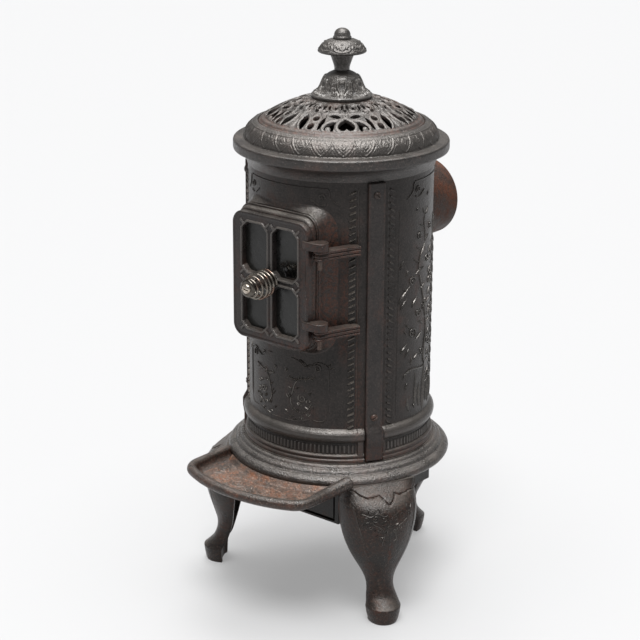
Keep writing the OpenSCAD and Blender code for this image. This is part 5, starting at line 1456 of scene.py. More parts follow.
def prism(name, outline, z0, z1, bevel, body, mat, tint=0.0, replaces=(), grooves=(), sub=3):
    """Upright block over a closed outline in plan, with softened edges and long grooves round its sides."""
    o = np.asarray(outline, float)
    for _ in range(sub):
        o = np.concatenate([[0.75 * a + 0.25 * b, 0.25 * a + 0.75 * b] for a, b in zip(o, np.roll(o, -1, 0))]).reshape(-1, 2) if _ < 2 else refine(o, 1.1)
    nx = np.roll(o, -1, 0) - np.roll(o, 1, 0)
    area = 0.5 * np.sum(o[:, 0] * np.roll(o[:, 1], -1) - np.roll(o[:, 0], -1) * o[:, 1])
    nrm = np.stack([nx[:, 1], -nx[:, 0]], 1) * (1 if area > 0 else -1)
    nrm /= np.maximum(np.linalg.norm(nrm, axis=1, keepdims=True), 1e-9)
    zz = [z0, z0 + 0.15 * bevel, z0 + 0.5 * bevel, z0 + bevel]
    ins = [bevel, 0.5 * bevel, 0.15 * bevel, 0]
    inner = np.arange(z0 + bevel + 0.6, z1 - bevel - 0.3, 0.6)
    zz += list(inner)
    ins += [0.0] * len(inner)
    zz += [z1 - bevel, z1 - 0.5 * bevel, z1 - 0.15 * bevel, z1]
    ins += [0, 0.15 * bevel, 0.5 * bevel, bevel]
    rows = []
    for zc_, i in zip(zz, ins):
        g = sum(dp * math.exp(-((zc_ - gz) / gw) ** 2) for gz, gw, dp in grooves)
        q = o - nrm * (i + g)
        rows.append(np.concatenate([q, np.full((len(q), 1), zc_)], 1))
    m = len(o)
    v = np.array(rows).reshape(-1, 3)
    co = casting(v[:, 0], v[:, 1], v[:, 2], 41)
    v[:, :2] += np.tile(nrm, (len(rows), 1)) * co[:, None] * 0.35
    ids = np.arange(len(v)).reshape(len(rows), m)
    q = np.stack([ids[:-1], np.roll(ids, -1, 1)[:-1], np.roll(ids, -1, 1)[1:], ids[1:]], -1).reshape(-1, 4)
    cen = np.array([[o[:, 0].mean(), o[:, 1].mean(), z0], [o[:, 0].mean(), o[:, 1].mean(), z1]])
    cb, ct = len(v), len(v) + 1
    v = np.concatenate([v, cen])
    t = [(cb, ids[0, (k + 1) % m], ids[0, k]) for k in range(m)] + [(ct, ids[-1, k], ids[-1, (k + 1) % m]) for k in range(m)]
    n = len(v)
    return make(name, v, q, t, body, mat, 40, {"relief": np.zeros(n), "tint": np.full(n, float(tint))}, replaces)


LUG = [(51.5, -141.2), (55.5, -143.8), (62, -144.6), (73, -144.4), (81.6, -141.4), (85.6, -135.8), (85.6, -130.0), (82.0, -124.6), (76.0, -122.0),
       (70.0, -123.0), (66.4, -127.4), (64.6, -133.0), (58.0, -137.4)]
for k, z0 in enumerate((396.5, 500.5)):
    prism("door_lug_%d" % (k + 1), LUG, z0 + 0.6, z0 + 11, 1.0, "door", M["door_iron"], 0.3, ("door_frame",))


def arm(name, z0, node):
    ax, ay = 73.0, -131.0
    dx, dy = 18.5, 49.0
    L = math.hypot(dx, dy)
    ux, uy = dx / L, dy / L
    px, py = uy, -ux                       # to the right of the arm

    def P(a, b):
        return (ax + ux * a + px * b, ay + uy * a + py * b)
    end = L + 2.5
    out = [P(-9.0, 0), P(-7.6, 5.4), P(-3.4, 8.2), P(3, 8.0), P(14, 7.4), P(end - 12, 7.2), P(end - 3, 8.2), P(end, 8.6), P(end, -7.4), P(end - 10, -7.4),
           P(6, -7.8), P(-1, -8.8), P(-6.4, -6.2)]
    prism(name, out, z0, z0 + 12, 0.9, "stove", M["door_iron"], 0.45, (node,), grooves=((z0 + 3.2, 0.9, 1.5), (z0 + 8.0, 0.9, 1.5)))


arm("hinge_arm_low", 384.1, "hinge_arm_lower")
arm("hinge_arm_high", 488.1, "hinge_arm_upper")


def mica():
    xs, zs = np.linspace(-46.6, 46.6, 118), np.linspace(378.8, 520.0, 176)
    X, Z = np.meshgrid(xs, zs)
    f = np.full_like(X, -9.0)
    for s in (-1, 1):
        for a, b in ((379.8, 444.0), (454.6, 519.0)):
            x0, x1 = (4, 46.5) if s > 0 else (-46.5, -4)
            f = np.maximum(f, -rrect_sd(X, Z, (x0 + x1) / 2, (a + b) / 2, (x1 - x0) / 2, (b - a) / 2 + 0.9, 0.4))
    # torn place in the lower right of the upper right pane
    a = np.arctan2(Z - 463.0, X - 28.0)
    rad = 13.2 + 3.0 * np.cos(a - 0.35) + 0.9 * np.sin(3 * a + 0.6) + 0.35 * np.sin(7 * a) + 0.5 * value_noise(X / 2.2, Z / 2.2, 0 * X, 3)
    d = np.hypot((X - 28.0) / 1.05, (Z - 463.0) / 0.92)
    f = np.where((X > 0) & (Z > 450), np.minimum(f, d - rad), f)
    curl = 1.4 * np.exp(-np.clip(d - rad, 0, 9) / 1.6) * ((X > 0) & (Z > 450))
    y = 133.5 + 0.16 * value_noise(X / 11, Z / 13, 0 * X, 8) + 0.10 * value_noise(X / 3.3, Z / 3.3, 0 * X, 9) - curl * 0.8
    top = np.stack([X, -(y + 0.3), Z], -1)
    bot = np.stack([X, -(y - 0.25), Z], -1)
    sheet("mica_sheets", f, top, bot, "door", M["mica"], flip=True, attrs={"relief": curl, "tint": 0 * X}, replaces=("mica_panes",), sharp=60)
    # a loose flake that hangs in the torn place
    u, v = np.meshgrid(np.linspace(0, 1, 16), np.linspace(0, 1, 22))
    x = 31.5 + 9.5 * u + 2.5 * np.sin(v * 3)
    z = 452.5 + 17 * v - 2.5 * u
    yy = 131.2 + 2.0 * np.sin(u * 3.1) * np.cos(v * 2.2) + 0.5 * value_noise(x / 2.4, z / 2.4, 0 * x, 2)
    top = np.stack([x, -yy, z], -1)
    bot = np.stack([x, -(yy - 0.25), z], -1)
    f = 6.0 - np.abs((u - 0.5) * 12 + 1.4 * np.sin(v * 9)) - 1.5 * np.abs(v - 0.5)
    sheet("mica_flake", f, top, bot, "door", M["mica"], flip=True, attrs={"relief": 0.3 + 0 * x, "tint": 0 * x}, sharp=60)
    # a dark, glossy back sheet behind the torn pane, seen through the torn front one: sooty mica that also paints the
    # shade inside the hole
    x, z = np.meshgrid(np.linspace(6, 46, 60), np.linspace(446, 484, 58))
    yy = 132.5 + 0.10 * value_noise(x / 9, z / 9, 0 * x, 12)
    top = np.stack([x, -(yy + 0.1), z], -1)
    bot = np.stack([x, -(yy - 0.1), z], -1)
    f = -rrect_sd(x, z, 26, 465, 19.5, 18.5, 2.0)
    sheet("mica_back_layer", f, top, bot, "door", M["mica_back"], flip=True, attrs={"relief": 0 * x, "tint": 0 * x}, sharp=60)


mica()


# ------------------------------------------------------------------ handle
def coil():
    n, m = 264, 16
    rows = []
    t = np.linspace(0, 1, n + 1)
    r = np.where(t < 0.55, 16.4, 16.4 - 6.4 * np.maximum((t - 0.55) / 0.45, 0) ** 1.2)
    a = 2 * math.pi * 5.5 * t
    y = 146.8 + (180.6 - 146.8) * t
    C = np.stack([r * np.cos(a), -y, ZC - 1.2 * np.sin(math.pi * np.clip(t, 0, 1)) + r * np.sin(a)], 1)
    T = np.gradient(C, axis=0)
    T /= np.linalg.norm(T, axis=1, keepdims=True)
    N1 = np.stack([np.cos(a), 0 * a, np.sin(a)], 1)
    N1 -= T * np.sum(N1 * T, 1, keepdims=True)
    N1 /= np.linalg.norm(N1, axis=1, keepdims=True)
    N2 = np.cross(T, N1)
    b = np.arange(m) * 2 * math.pi / m
    w = 1.5
    v = C[:, None] + w * (np.cos(b)[None, :, None] * N1[:, None] + np.sin(b)[None, :, None] * N2[:, None])
    v = v.reshape(-1, 3)
    ids = np.arange((n + 1) * m).reshape(n + 1, m)
    q = np.stack([ids[:-1], np.roll(ids, -1, 1)[:-1], np.roll(ids, -1, 1)[1:], ids[1:]], -1).reshape(-1, 4)
    v = np.concatenate([v, C[:1] - T[:1] * 0.4, C[-1:] + T[-1:] * 0.4])
    c0, c1 = len(v) - 2, len(v) - 1
    tr = [(c0, ids[0, (k + 1) % m], ids[0, k]) for k in range(m)] + [(c1, ids[-1, k], ids[-1, (k + 1) % m]) for k in range(m)]
    make("handle_coil", v, q, tr, "door_handle", M["coil"], 50, {"relief": np.zeros(len(v)), "tint": np.zeros(len(v))}, ("handle_spring",))


coil()


def lathe_y(name, prof, nseg, body, mat, replaces=(), slot_cut=None):
    """Closed profile (radius, distance in front of the axis) turned about the handle's own axis."""
    prof = np.asarray(prof, float)
    a = np.arange(nseg) * 2 * math.pi / nseg
    A, Rr = np.meshgrid(a, prof[:, 0])
    Yy = np.broadcast_to(prof[:, 1:2], A.shape)
    v = np.stack([Rr * np.cos(A), -Yy, ZC + Rr * np.sin(A)], -1)
    if slot_cut is not None:
        ang, half, depth_y = slot_cut
        c, s = math.cos(math.radians(ang)), math.sin(math.radians(ang))
        off = np.abs((v[..., 0]) * -s + (v[..., 2] - ZC) * c)
        k = (1 - sstep(half - 0.12, half + 0.12, off)) * (Yy > depth_y)
        v[..., 1] = -(Yy - k * (Yy - depth_y))
    ids = np.arange(A.size).reshape(A.shape)
    q = np.stack([ids, np.roll(ids, -1, 1), np.roll(np.roll(ids, -1, 1), -1, 0), np.roll(ids, -1, 0)], -1).reshape(-1, 4)
    return make(name, v.reshape(-1, 3), q, None, body, mat, 50, {"relief": np.zeros(A.size), "tint": np.zeros(A.size)}, replaces)


lathe_y("washer_inner", [(5.2, 143.25), (12.2, 143.25), (12.9, 143.7), (12.9, 144.8), (12.2, 145.2), (9.6, 145.6), (5.2, 145.6)], 64, "door_handle", M["washer"],
        ("handle_washers",))
lathe_y("washer_outer", [(2.7, 181.0), (9.4, 180.6), (11.2, 181.4), (11.5, 182.6), (11.2, 183.7), (10.3, 184.35), (8.8, 184.6), (2.7, 184.6)], 64, "door_handle",
        M["washer"], ("handle_washers",))
head = [(0.05, 184.6), (6.2, 184.6)] + [(6.35 * math.cos(math.radians(x)) ** 0.75, 185.1 + 3.7 * math.sin(math.radians(x))) for x in np.linspace(0, 88, 40)] + [(0.05, 188.8)]
lathe_y("screw_head", head, 120, "door_handle", M["nickel"], ("handle_screw",), slot_cut=(-14, 0.75, 187.0))


# ------------------------------------------------------------------ strip screws
def strip_heads():
    V, Q, n0 = [], [], 0
    turn = {(60, 562): -38, (60, 268): 24, (-60, 562): 70, (-60, 268): 10, (180, 408): 45, (180, 268): 5}
    for (a, z), rot in turn.items():
        nr, ns = 26, 44
        t = np.linspace(0, 1, nr)
        r = np.concatenate([[4.75, 4.8], 4.8 * np.cos(t[1:] * math.pi / 2 * 0.99) ** 0.8])
        h = np.concatenate([[-0.8, 0.5], 0.5 + 2.5 * np.sin(t[1:] * math.pi / 2)])
        th = np.arange(ns) * 2 * math.pi / ns
        Rr, T = np.meshgrid(r, th, indexing="ij")
        H = np.broadcast_to(h[:, None], Rr.shape).copy()
        x, y = Rr * np.cos(T), Rr * np.sin(T)
        c, s = math.cos(math.radians(rot)), math.sin(math.radians(rot))
        off = np.abs(-x * s + y * c)
        k = (1 - sstep(0.5, 0.8, off)) * (H > 1.3)
        H = H - k * (H - 1.3)
        rad = 124.5 + H
        ca, sa = math.cos(math.radians(a)), math.sin(math.radians(a))
        # x across the strip, y up
        px = x * ca + rad * sa
        py = x * sa - rad * ca
        v = np.stack([px, py, z + y], -1).reshape(-1, 3)
        ids = np.arange(nr + 1 if False else len(r) * ns).reshape(len(r), ns) + n0
        q = np.stack([ids[:-1], np.roll(ids, -1, 1)[:-1], np.roll(ids, -1, 1)[1:], ids[1:]], -1).reshape(-1, 4)
        c0 = n0 + len(v)
        v = np.concatenate([v, [[123.7 * sa, -123.7 * ca, z], [(124.5 + 1.3) * sa, -(124.5 + 1.3) * ca, z]]])
        V.append(v)
        Q.append((q, [(c0, ids[0, (j + 1) % ns], ids[0, j]) for j in range(ns)] + [(c0 + 1, ids[-1, j], ids[-1, (j + 1) % ns]) for j in range(ns)]))
        n0 += len(v)
    q = np.concatenate([a for a, b in Q])
    t = [x for a, b in Q for x in b]
    make("strip_screw_heads", np.concatenate(V), q, t, "stove", M["rusty_screw"], 50,
         {"relief": np.zeros(n0), "tint": np.zeros(n0)}, ("strip_screws",))


strip_heads()


# ------------------------------------------------------------------ base moulding
def base_skin():
    z0 = 178.0
    outer = smooth_profile([(128.2, z0 + 29.3), (129.6, z0 + 29.35), (131.8, z0 + 27.9), (133.0, z0 + 25.7), (133.7, z0 + 24.8), (135.6, z0 + 24.4),
                            (137.9, z0 + 22.1), (139.1, z0 + 19.7), (139.6, z0 + 18.85), (140.9, z0 + 18.85), (144.6, z0 + 17.0), (147.4, z0 + 14.1),
                            (148.62, z0 + 11.2), (148.62, z0 + 8.8), (146.7, z0 + 6.1), (142.6, z0 + 3.9), (139.4, z0 + 2.7), (139.0, z0 + 1.2), (137.8, z0 + 0.1)][::-1], 0.85, 1)
    inner = np.array([(126.8, z0 + 28.8), (128.2, z0 + 26.0), (131.0, z0 + 21.5), (135.0, z0 + 17.0), (139.5, z0 + 12.5), (139.5, z0 + 8.5), (136.8, z0 + 4.0)])

    def rel(P, S, R, Z):
        x, y = R * np.sin(P), -R * np.cos(P)
        return np.maximum(casting(x, y, Z, 51), -0.12) * 1.1 + 0.10 * value_noise(x / 2.1, y / 2.1, Z / 2.1, 52)
    # the whole moulding is marked polished, which also paints a highlight on it
    revolve("base_moulding", outer, inner, 720, "stove", M["base_iron"], rel, sharp=60, attrs={"polish_and_highlight": np.full((len(outer) + len(inner)) * 720, 0.35)})


base_skin()


# ------------------------------------------------------------------ hearth tray
TR, TC = 190.0, 26.0
TY = 219.0 - TR
TX = 97.0 - TC
TK = TY + math.sqrt((TR - TC) ** 2 - TX ** 2)
TA = math.asin(TX / (TR - TC))


def tray_path(step):
    pts, nrm = [], []
    y_end = -117.0
    n = int((TK - 117.0) / step) + 1
    for i in range(n):
        t = i / n
        pts.append((-97.0, y_end + (-TK - y_end) * t))
        nrm.append((-1.0, 0.0))
    n = int((math.pi / 2 - TA) * TC / step) + 2
    for i in range(n):
        a = -math.pi / 2 + (math.pi / 2 - TA) * i / n
        pts.append((-TX + TC * math.sin(a), -TK - TC * math.cos(a)))
        nrm.append((math.sin(a), -math.cos(a)))
    n = int(2 * TA * TR / step) + 1
    for i in range(n):
        a = -TA + 2 * TA * i / n
        pts.append((TR * math.sin(a), -TY - TR * math.cos(a)))
        nrm.append((math.sin(a), -math.cos(a)))
    n = int((math.pi / 2 - TA) * TC / step) + 2
    for i in range(n):
        a = TA + (math.pi / 2 - TA) * i / n
        pts.append((TX + TC * math.sin(a), -TK - TC * math.cos(a)))
        nrm.append((math.sin(a), -math.cos(a)))
    n = int((TK - 117.0) / step) + 1
    for i in range(n + 1):
        t = i / n
        pts.append((97.0, -TK + (y_end + TK) * t))
        nrm.append((1.0, 0.0))
    return np.array(pts), np.array(nrm)


def tray():
    P, N = tray_path(1.6)
    arc = [(6.5 * math.cos(a), 186 + 6.5 * math.sin(a)) for a in np.radians(np.linspace(176, -62, 40))]
    sec = np.array([(-15.5, 173.3), (-15.5, 177.6), (-13.2, 178.3), (-10.6, 179.9), (-8.4, 182.3), (-7.0, 184.6)] + arc + [(1.4, 179.6), (-2.6, 177.2), (-6.0, 175.0), (-9.6, 173.3)])
    m = len(sec)
    cen = np.array([-1.5, 183.0])
    rows = []
    tang = np.stack([-N[:, 1], N[:, 0]], 1)
    caps = [(0, -1, 6.3 * math.sin(a), math.cos(a) ** 0.7) for a in np.radians([84, 72, 58, 42, 26, 10])]
    seq = [(P[0] - (P[1] - P[0]) / np.linalg.norm(P[1] - P[0]) * d, N[0], k) for _, _, d, k in caps] + [(p, n, 1.0) for p, n in zip(P, N)]
    e = (P[-1] - P[-2]) / np.linalg.norm(P[-1] - P[-2])
    seq += [(P[-1] + e * d, N[-1], k) for _, _, d, k in caps[::-1]]
    for p, n, k in seq:
        s = cen + (sec - cen) * k
        rows.append(np.stack([p[0] + n[0] * s[:, 0], p[1] + n[1] * s[:, 0], s[:, 1]], 1))
    V = np.array(rows)
    # the roll's right end is bent a little outwards and up
    grow = np.clip((V[..., 1] + 182.0) / 62.0, 0, 1.1) * (V[..., 0] > 0) * sstep(-9.5, -4.0, (sec[None, :, 0] + 0 * V[..., 0]))
    mx = 97.0 + 0 * V[..., 0]
    V[..., 0] += 0.32 * grow * (V[..., 0] - mx)
    V[..., 2] += 0.32 * grow * (V[..., 2] - 184.5)
    end = np.clip((V[..., 1] + 152.0) / 36.0, 0, 1.25) ** 1.5 * (V[..., 0] > 0) * sstep(-9.5, -4.0, (sec[None, :, 0] + 0 * V[..., 0]))
    V[..., 0] += 10.0 * end
    V[..., 2] += 7.0 * end
    d = np.roll(V, -1, 1) - np.roll(V, 1, 1)
    c = V.mean(1, keepdims=True)
    out = V - c
    out /= np.maximum(np.linalg.norm(out, axis=2, keepdims=True), 1e-9)
    co = casting(V[..., 0], V[..., 1], V[..., 2], 61) * 1.5 + 0.12 * value_noise(V[..., 0] / 2.3, V[..., 1] / 2.3, V[..., 2] / 2.3, 62)
    V = V + out * np.maximum(co, -0.2)[..., None] * (V[..., 2:3] > 177)
    n = len(V)
    v = V.reshape(-1, 3)
    ids = np.arange(n * m).reshape(n, m)
    q = np.stack([ids[:-1], np.roll(ids, -1, 1)[:-1], np.roll(ids, -1, 1)[1:], ids[1:]], -1).reshape(-1, 4)
    v = np.concatenate([v, V[:1].mean(1), V[-1:].mean(1)])
    t = [(n * m, ids[0, (k + 1) % m], ids[0, k]) for k in range(m)] + [(n * m + 1, ids[-1, k], ids[-1, (k + 1) % m]) for k in range(m)]
    x, y, z = v.T
    tint = 0.35 + 0.35 * value_noise(x / 17, y / 17, z / 17, 63) + 0.4 * sstep(184, 178, z)
    tint = np.clip(0.7 * tint * (1 - 0.65 * sstep(-30, 30, x) * sstep(188, 191, z)), 0, 1)
    # the roll's top is lightened as rubbed relief: wear and a painted highlight
    make("tray_rim", v, q, t, "stove", M["tray_iron"], 50, {"relief": np.where((z > 189.5), 0.6, 0.0), "tint": tint}, ("hearth_tray",))

    # floor with shallow foliage
    xs, ys = np.linspace(-84.8, 84.8, 208), np.linspace(-207.0, -108.8, 122)
    X, Y = np.meshgrid(xs, ys)
    front = [((TR - 12.4) * math.sin(a), -TY - (TR - 12.4) * math.cos(a)) for a in np.linspace(-TA, TA, 41)]
    cor = [(TX + (TC - 12.4) * math.sin(a), -TK - (TC - 12.4) * math.cos(a)) for a in np.linspace(TA, math.pi / 2, 9)[1:]]
    ring = front + cor + [(84.6, -122), (76, -122), (76, -109), (-76, -109), (-76, -122), (-84.6, -122)] + [(-x, y) for x, y in cor[::-1]]
    sd = poly_sd(X, Y, ring)
    L = Relief(X, Y)
    for s in (1, -1):
        def Q(*pts):
            return [(s * a, b) for a, b in pts]
        for cx, cy, r0, a0, tn in ((22, -178, 11, 200, 1.5), (47, -172, 9.5, -20, -1.4), (68, -157, 8, 120, 1.4)):
            sp = spiral((cx, cy), r0, 1.5, a0, tn)
            L.stroke([(s * a, b) for a, b in sp], 1.5, 1.1)
            L.knob(Q((cx, cy))[0], 2.3, 1.5)
        L.stroke(bezier(*Q((0, -168), (12, -160), (30, -160), (40, -166))), 1.3, 1.0)
        L.stroke(bezier(*Q((40, -166), (54, -160), (64, -152), (72, -146))), 1.3, 0.9)
        L.stroke(bezier(*Q((6, -192), (22, -196), (44, -190), (58, -180))), 1.3, 0.9)
        for a, b, w in (((10, -194), (2, -182), 3), ((30, -194), (38, -184), 3.2), ((46, -189), (58, -184), 3), ((56, -181), (66, -174), 3), ((34, -166), (34, -156), 3),
                        ((14, -162), (8, -153), 3), ((54, -160), (52, -150), 3), ((74, -164), (80, -156), 2.6), ((24, -164), (30, -154), 2.6), ((62, -166), (74, -172), 3)):
            L.leaf(*Q(a, b), w, 1.2)
    L.leaf((0, -200), (0, -184), 4, 1.3)
    L.knob((0, -178), 3.2, 1.7)
    L.leaf((0, -172), (0, -156), 3.6, 1.2)
    R = np.hypot(X, Y)
    fade = sstep(149.5, 153, R) * sstep(-1.5, -4.0, sd)
    co = casting(X, Y, 178 + 0 * X, 64) + 0.16 * value_noise(X / 2.0, Y / 2.0, 0 * X, 65)
    z = 177.9 + (L.H + np.maximum(co, -0.2) * 1.2 + 0.15) * fade
    z = np.where(R < 149, 177.85, z) + 7.6 * (1 - sstep(146.5, 155.5, R)) * sstep(141, 146, R)      # fillet up to the base moulding
    top = np.stack([X, Y, z], -1)
    bot = np.stack([X, Y, 173.6 + 0 * X], -1)
    tint = np.clip(0.10 + 0.5 * value_noise(X / 13, Y / 13, 0 * X, 66) + 0.45 * np.exp(-((Y + 168 - 0.1 * X) / 16) ** 2), 0, 1)
    sheet("tray_floor", -sd, top, bot, "stove", M["tray_floor"], attrs={"relief": L.H * fade, "tint": tint}, replaces=("hearth_tray",), sharp=50)


tray()


# ------------------------------------------------------------------ legs
LEG = np.array([
    [0, 184.8, 18.8, 160, 0.14], [3, 186.0, 20.0, 160, 0.16], [12, 187.6, 22.4, 160, 0.2], [18, 188.4, 23.2, 159.7, 0.22], [21, 188.8, 23.6, 159.3, 0.26],
    [22.2, 188.2, 23.4, 159.0, 0.28], [23.4, 186.4, 22.8, 158.5, 0.32], [28, 181.5, 21.6, 156.5, 0.5], [34, 175.5, 20.2, 152.5, 0.8], [41, 171.8, 18.4, 150, 0.95],
    [49, 169.4, 18.0, 147.6, 1], [58, 168.6, 20, 145.2, 1],
    [66, 169.6, 23.6, 143.4, 1], [75, 171.8, 28.6, 141.6, 1], [85, 174.8, 34.4, 139.8, 1], [95, 178, 39.4, 138, 1], [106, 181.2, 43.8, 136.2, 1],
    [118, 184, 47.2, 134.8, 1], [130, 185.6, 49.9, 134, 1], [141, 185.6, 51.7, 133.5, 1], [151, 183.6, 52.6, 133.2, 1], [159, 180, 52.7, 133, 1],
    [166, 174.8, 52.2, 133, 1], [171.5, 168, 51.4, 133.5, 1], [176, 162.5, 50.8, 136, 1], [180, 157, 50.4, 139.5, 1], [184, 151.5, 50.2, 142.8, 1],
    [186.6, 149.0, 50, 142, 1]])
APRON = [(-60, 190), (-47, 186), (-36.8, 182), (-31.3, 177.5), (-22.9, 174.5), (-16.3, 175), (-7, 176.5), (-2, 172), (3.1, 166), (11.1, 171), (15.2, 176.5),
         (21, 174.5), (30.8, 175), (39.4, 176), (50.6, 174.5), (60, 173)]


def leg(name, a, node):
    k = 4
    z = np.concatenate([np.linspace(0.05, 60, 97)[:-1], np.linspace(60, 186.4, 157)])
    t = np.linspace(-1, 1, 173)
    mt = len(t) // 2
    cols = []
    for c in range(1, 5):
        y = np.interp(z, LEG[:, 0], LEG[:, c])
        wide = np.concatenate([np.arange(1, 9), np.arange(7, 0, -1)]) * 1.0
        tight = np.array([1, 2, 1.0])
        sm = np.convolve(np.pad(y, 7, mode="reflect", reflect_type="odd"), wide / wide.sum(), "valid")
        st = np.convolve(np.pad(y, 1, mode="reflect", reflect_type="odd"), tight / tight.sum(), "valid")
        q = sstep(26, 34, z)
        cols.append(st * (1 - q) + sm * q)
    F, W, S, Hw = [c[:, None] for c in cols]
    T, Z = np.meshgrid(t, z)
    cosb = np.maximum(np.cos(math.pi / 2 * T), 0) ** 0.82
    X, Y = W * np.sin(math.pi / 2 * T), -(S + (F - S) * cosb)
    Xi, Yi = (W - 5.5) * np.sin(math.pi / 2 * T), -(S + np.clip(Hw, 0, 1) * (F - 5.5 - S) * cosb)
    top = np.stack([X, Y, Z], -1)
    gi, gj = np.gradient(top, axis=0), np.gradient(top, axis=1)
    nrm = np.cross(gj, gi)
    nrm /= np.maximum(np.linalg.norm(nrm, axis=2, keepdims=True), 1e-9)
    mid = nrm[len(z) // 2, mt]
    if mid[1] > 0:
        nrm = -nrm
    seg = np.linalg.norm(np.diff(top, axis=1), axis=2)
    U = np.concatenate([np.zeros((len(z), 1)), np.cumsum(seg, 1)], 1)
    U = U - U[:, mt:mt + 1]
    fs = F[:, 0]
    Sv = np.concatenate([[0], np.cumsum(np.hypot(np.diff(z), np.diff(fs)))])
    V = np.broadcast_to(Sv[:, None], U.shape)
    v_of = lambda zz: float(np.interp(zz, z, Sv))

    def Q(*pts):
        return [(u, v_of(b)) for u, b in pts]
    L = Relief(U, V)
    for s in (1, -1):
        L.stroke(Q((s * 46.8, 170), (s * 46.0, 158), (s * 43.5, 147), (s * 38.5, 128), (s * 32, 108), (s * 23.5, 90), (s * 14.5, 72)), 1.2, 0.6, taper=0.4)
    L.stroke(Q((0, 150), (0, 98)), 0.8, 0.5, taper=0.6)
    for c0, c1 in (((-22.8, 94), (-21.6, 86)), ((-25.3, 27), (-20.5, 22.5)), ((9, 84), (12.5, 80))):
        L.stroke(Q(c0, c1), 0.5, 0.25, mode="sink")
    # raised apron over the knee with a cut line under its edge
    ap = np.array(APRON, float)
    edge_z = np.interp(U, ap[:, 0], ap[:, 1])
    L.H = np.where(Z > edge_z + 0.3, 0.0, L.H * sstep(-0.5, -3.0, Z - edge_z))
    L.H = L.H + 1.0 * sstep(-0.5, 1.3, Z - edge_z)
    L.stroke(Q(*[(u, min(zz, 186.0) - 0.9) for u, zz in APRON if abs(u) < 55]), 1.2, 1.5, mode="sink")
    H = L.H
    co = casting(X, Y + a, Z, 71) * 1.3 + 0.05 * value_noise(X / 1.9, Y / 1.9, Z / 1.9, 72)
    edge = sstep(0.99, 0.93, np.abs(T)) if False else 1 - sstep(0.93, 0.995, np.abs(T))
    side_round = -0.9 * sstep(0.93, 1.0, np.abs(T)) ** 2
    h = H * edge + np.maximum(co, -0.25) + side_round
    lim = (Z < 3.0)
    top = top + nrm * h[..., None] * (1 - 0.7 * sstep(183.5, 186.0, Z))[..., None] * (~lim)[..., None]
    top[..., 2] = np.clip(top[..., 2], 0.05, 186.6)
    bot = np.stack([Xi, Yi, Z], -1)
    ca, sa = math.cos(math.radians(a)), math.sin(math.radians(a))

    def turn(p):
        x = p[..., 0] * ca - p[..., 1] * sa
        over = np.maximum(np.abs(x) - 167.8, 0)
        x = np.sign(x) * (np.minimum(np.abs(x), 167.8) + 0.8 * np.tanh(over / 0.8))
        y = p[..., 0] * sa + p[..., 1] * ca
        y = np.minimum(y, 187.4) + 0.9 * np.tanh(np.maximum(y - 187.4, 0) / 0.9)
        return np.stack([x, y, p[..., 2]], -1)
    tint = 0.10 + 0.2 * value_noise(X / 16, Y / 16, Z / 22, 73) + 0.2 * (1 - sstep(2, 24, Z)) + 0.4 * np.exp(-((U - 3.1) / 2.4) ** 2) * np.exp(-((Z - 96) / 11) ** 2) + 0.5 * sstep(0.90, 0.99, np.abs(T)) * sstep(70, 120, Z) + 0.25 * np.exp(-((U - 2) / 3.0) ** 2) * sstep(118, 105, Z) * sstep(70, 90, Z)
    block_shell(name, turn(top), turn(bot), k, "stove", M["leg_iron"], attrs={"relief": H * edge, "tint": np.clip(tint, 0, 1)}, replaces=(node,), sharp=48)
    zs_, ids_ = z, np.arange(len(z))

    def place(u, v, hgt):
        """u across the leg along its skin, v the height, hgt off the skin."""
        out = np.empty((len(u), 3))
        fi = np.clip(np.interp(v, zs_, ids_), 0, len(z) - 1.001)
        for n in range(len(u)):
            i = int(fi[n])
            f = fi[n] - i
            j = min(max(float(np.interp(u[n], U[i], np.arange(len(t)))), 0.0), len(t) - 1.001)
            jj = int(j)
            g = j - jj
            wts = ((i, jj, (1 - f) * (1 - g)), (i + 1, jj, f * (1 - g)), (i, jj + 1, (1 - f) * g), (i + 1, jj + 1, f * g))
            p = sum(top[a_, b_] * w_ for a_, b_, w_ in wts)
            q = sum(nrm[a_, b_] * w_ for a_, b_, w_ in wts)
            out[n] = p + q / np.linalg.norm(q) * hgt[n]
        return turn(out)
    # the lower sprigs face down, so they take the lighter iron as a painted highlight as well as being rubbed
    O, W = Ornament(place), Ornament(place)          # upper foliage, and the rubbed lower sprigs
    for s, hk in ((-1, 1.0), (1, 0.55)):
        def C(*p):
            return [(s * x, y) for x, y in p]
        for (cu, cv), r0, a0, tn in (((30.4, 151), 4.4, 200, 1.3), ((18.5, 152.5), 5.0, -20, -1.35), ((8.0, 151), 3.4, 160, 1.2), ((15.0, 137.5), 3.4, 80, 1.2), ((6.2, 135), 2.8, -60, -1.2),
                                     ((26.0, 141), 3.0, 120, 1.1)):
            q = spiral((0, 0), r0, 1.0, a0, tn)
            (O if cv > 146 else W).cord([(s * (cu + x), cv + y) for x, y in q], 0.5, 0.9 * hk, step=0.9)
        O.cord(bezier(*C((38, 157), (33, 160), (27, 150), (20, 157))), 0.5, 0.9 * hk)
        O.cord(bezier(*C((20, 157), (13, 162), (10, 150), (2.1, 156))), 0.5, 0.9 * hk)
        W.cord(bezier(*C((24, 148), (20, 140), (12, 146), (8, 133))), 0.5, 0.9 * hk)
        W.cord(bezier(*C((8, 133), (6, 126), (12, 122), (9, 114))), 0.45, 0.8 * hk)
        for (a0, b0), (a1, b1), w in (((33, 156), (37, 162), 0.8), ((26.7, 157), (27.5, 164), 0.8), ((22, 145), (27, 147), 0.7), ((12, 158), (13, 164), 0.7), ((4, 153), (1, 148), 0.7),
                                      ((12, 144), (7, 142), 0.7), ((19, 140), (22, 134), 0.7), ((10, 128), (15, 126), 0.7), ((9, 121), (4, 119), 0.7), ((33, 146), (36, 141), 0.7),
                                      ((5, 140), (1, 143), 0.7), ((16, 132), (19, 128), 0.6)):
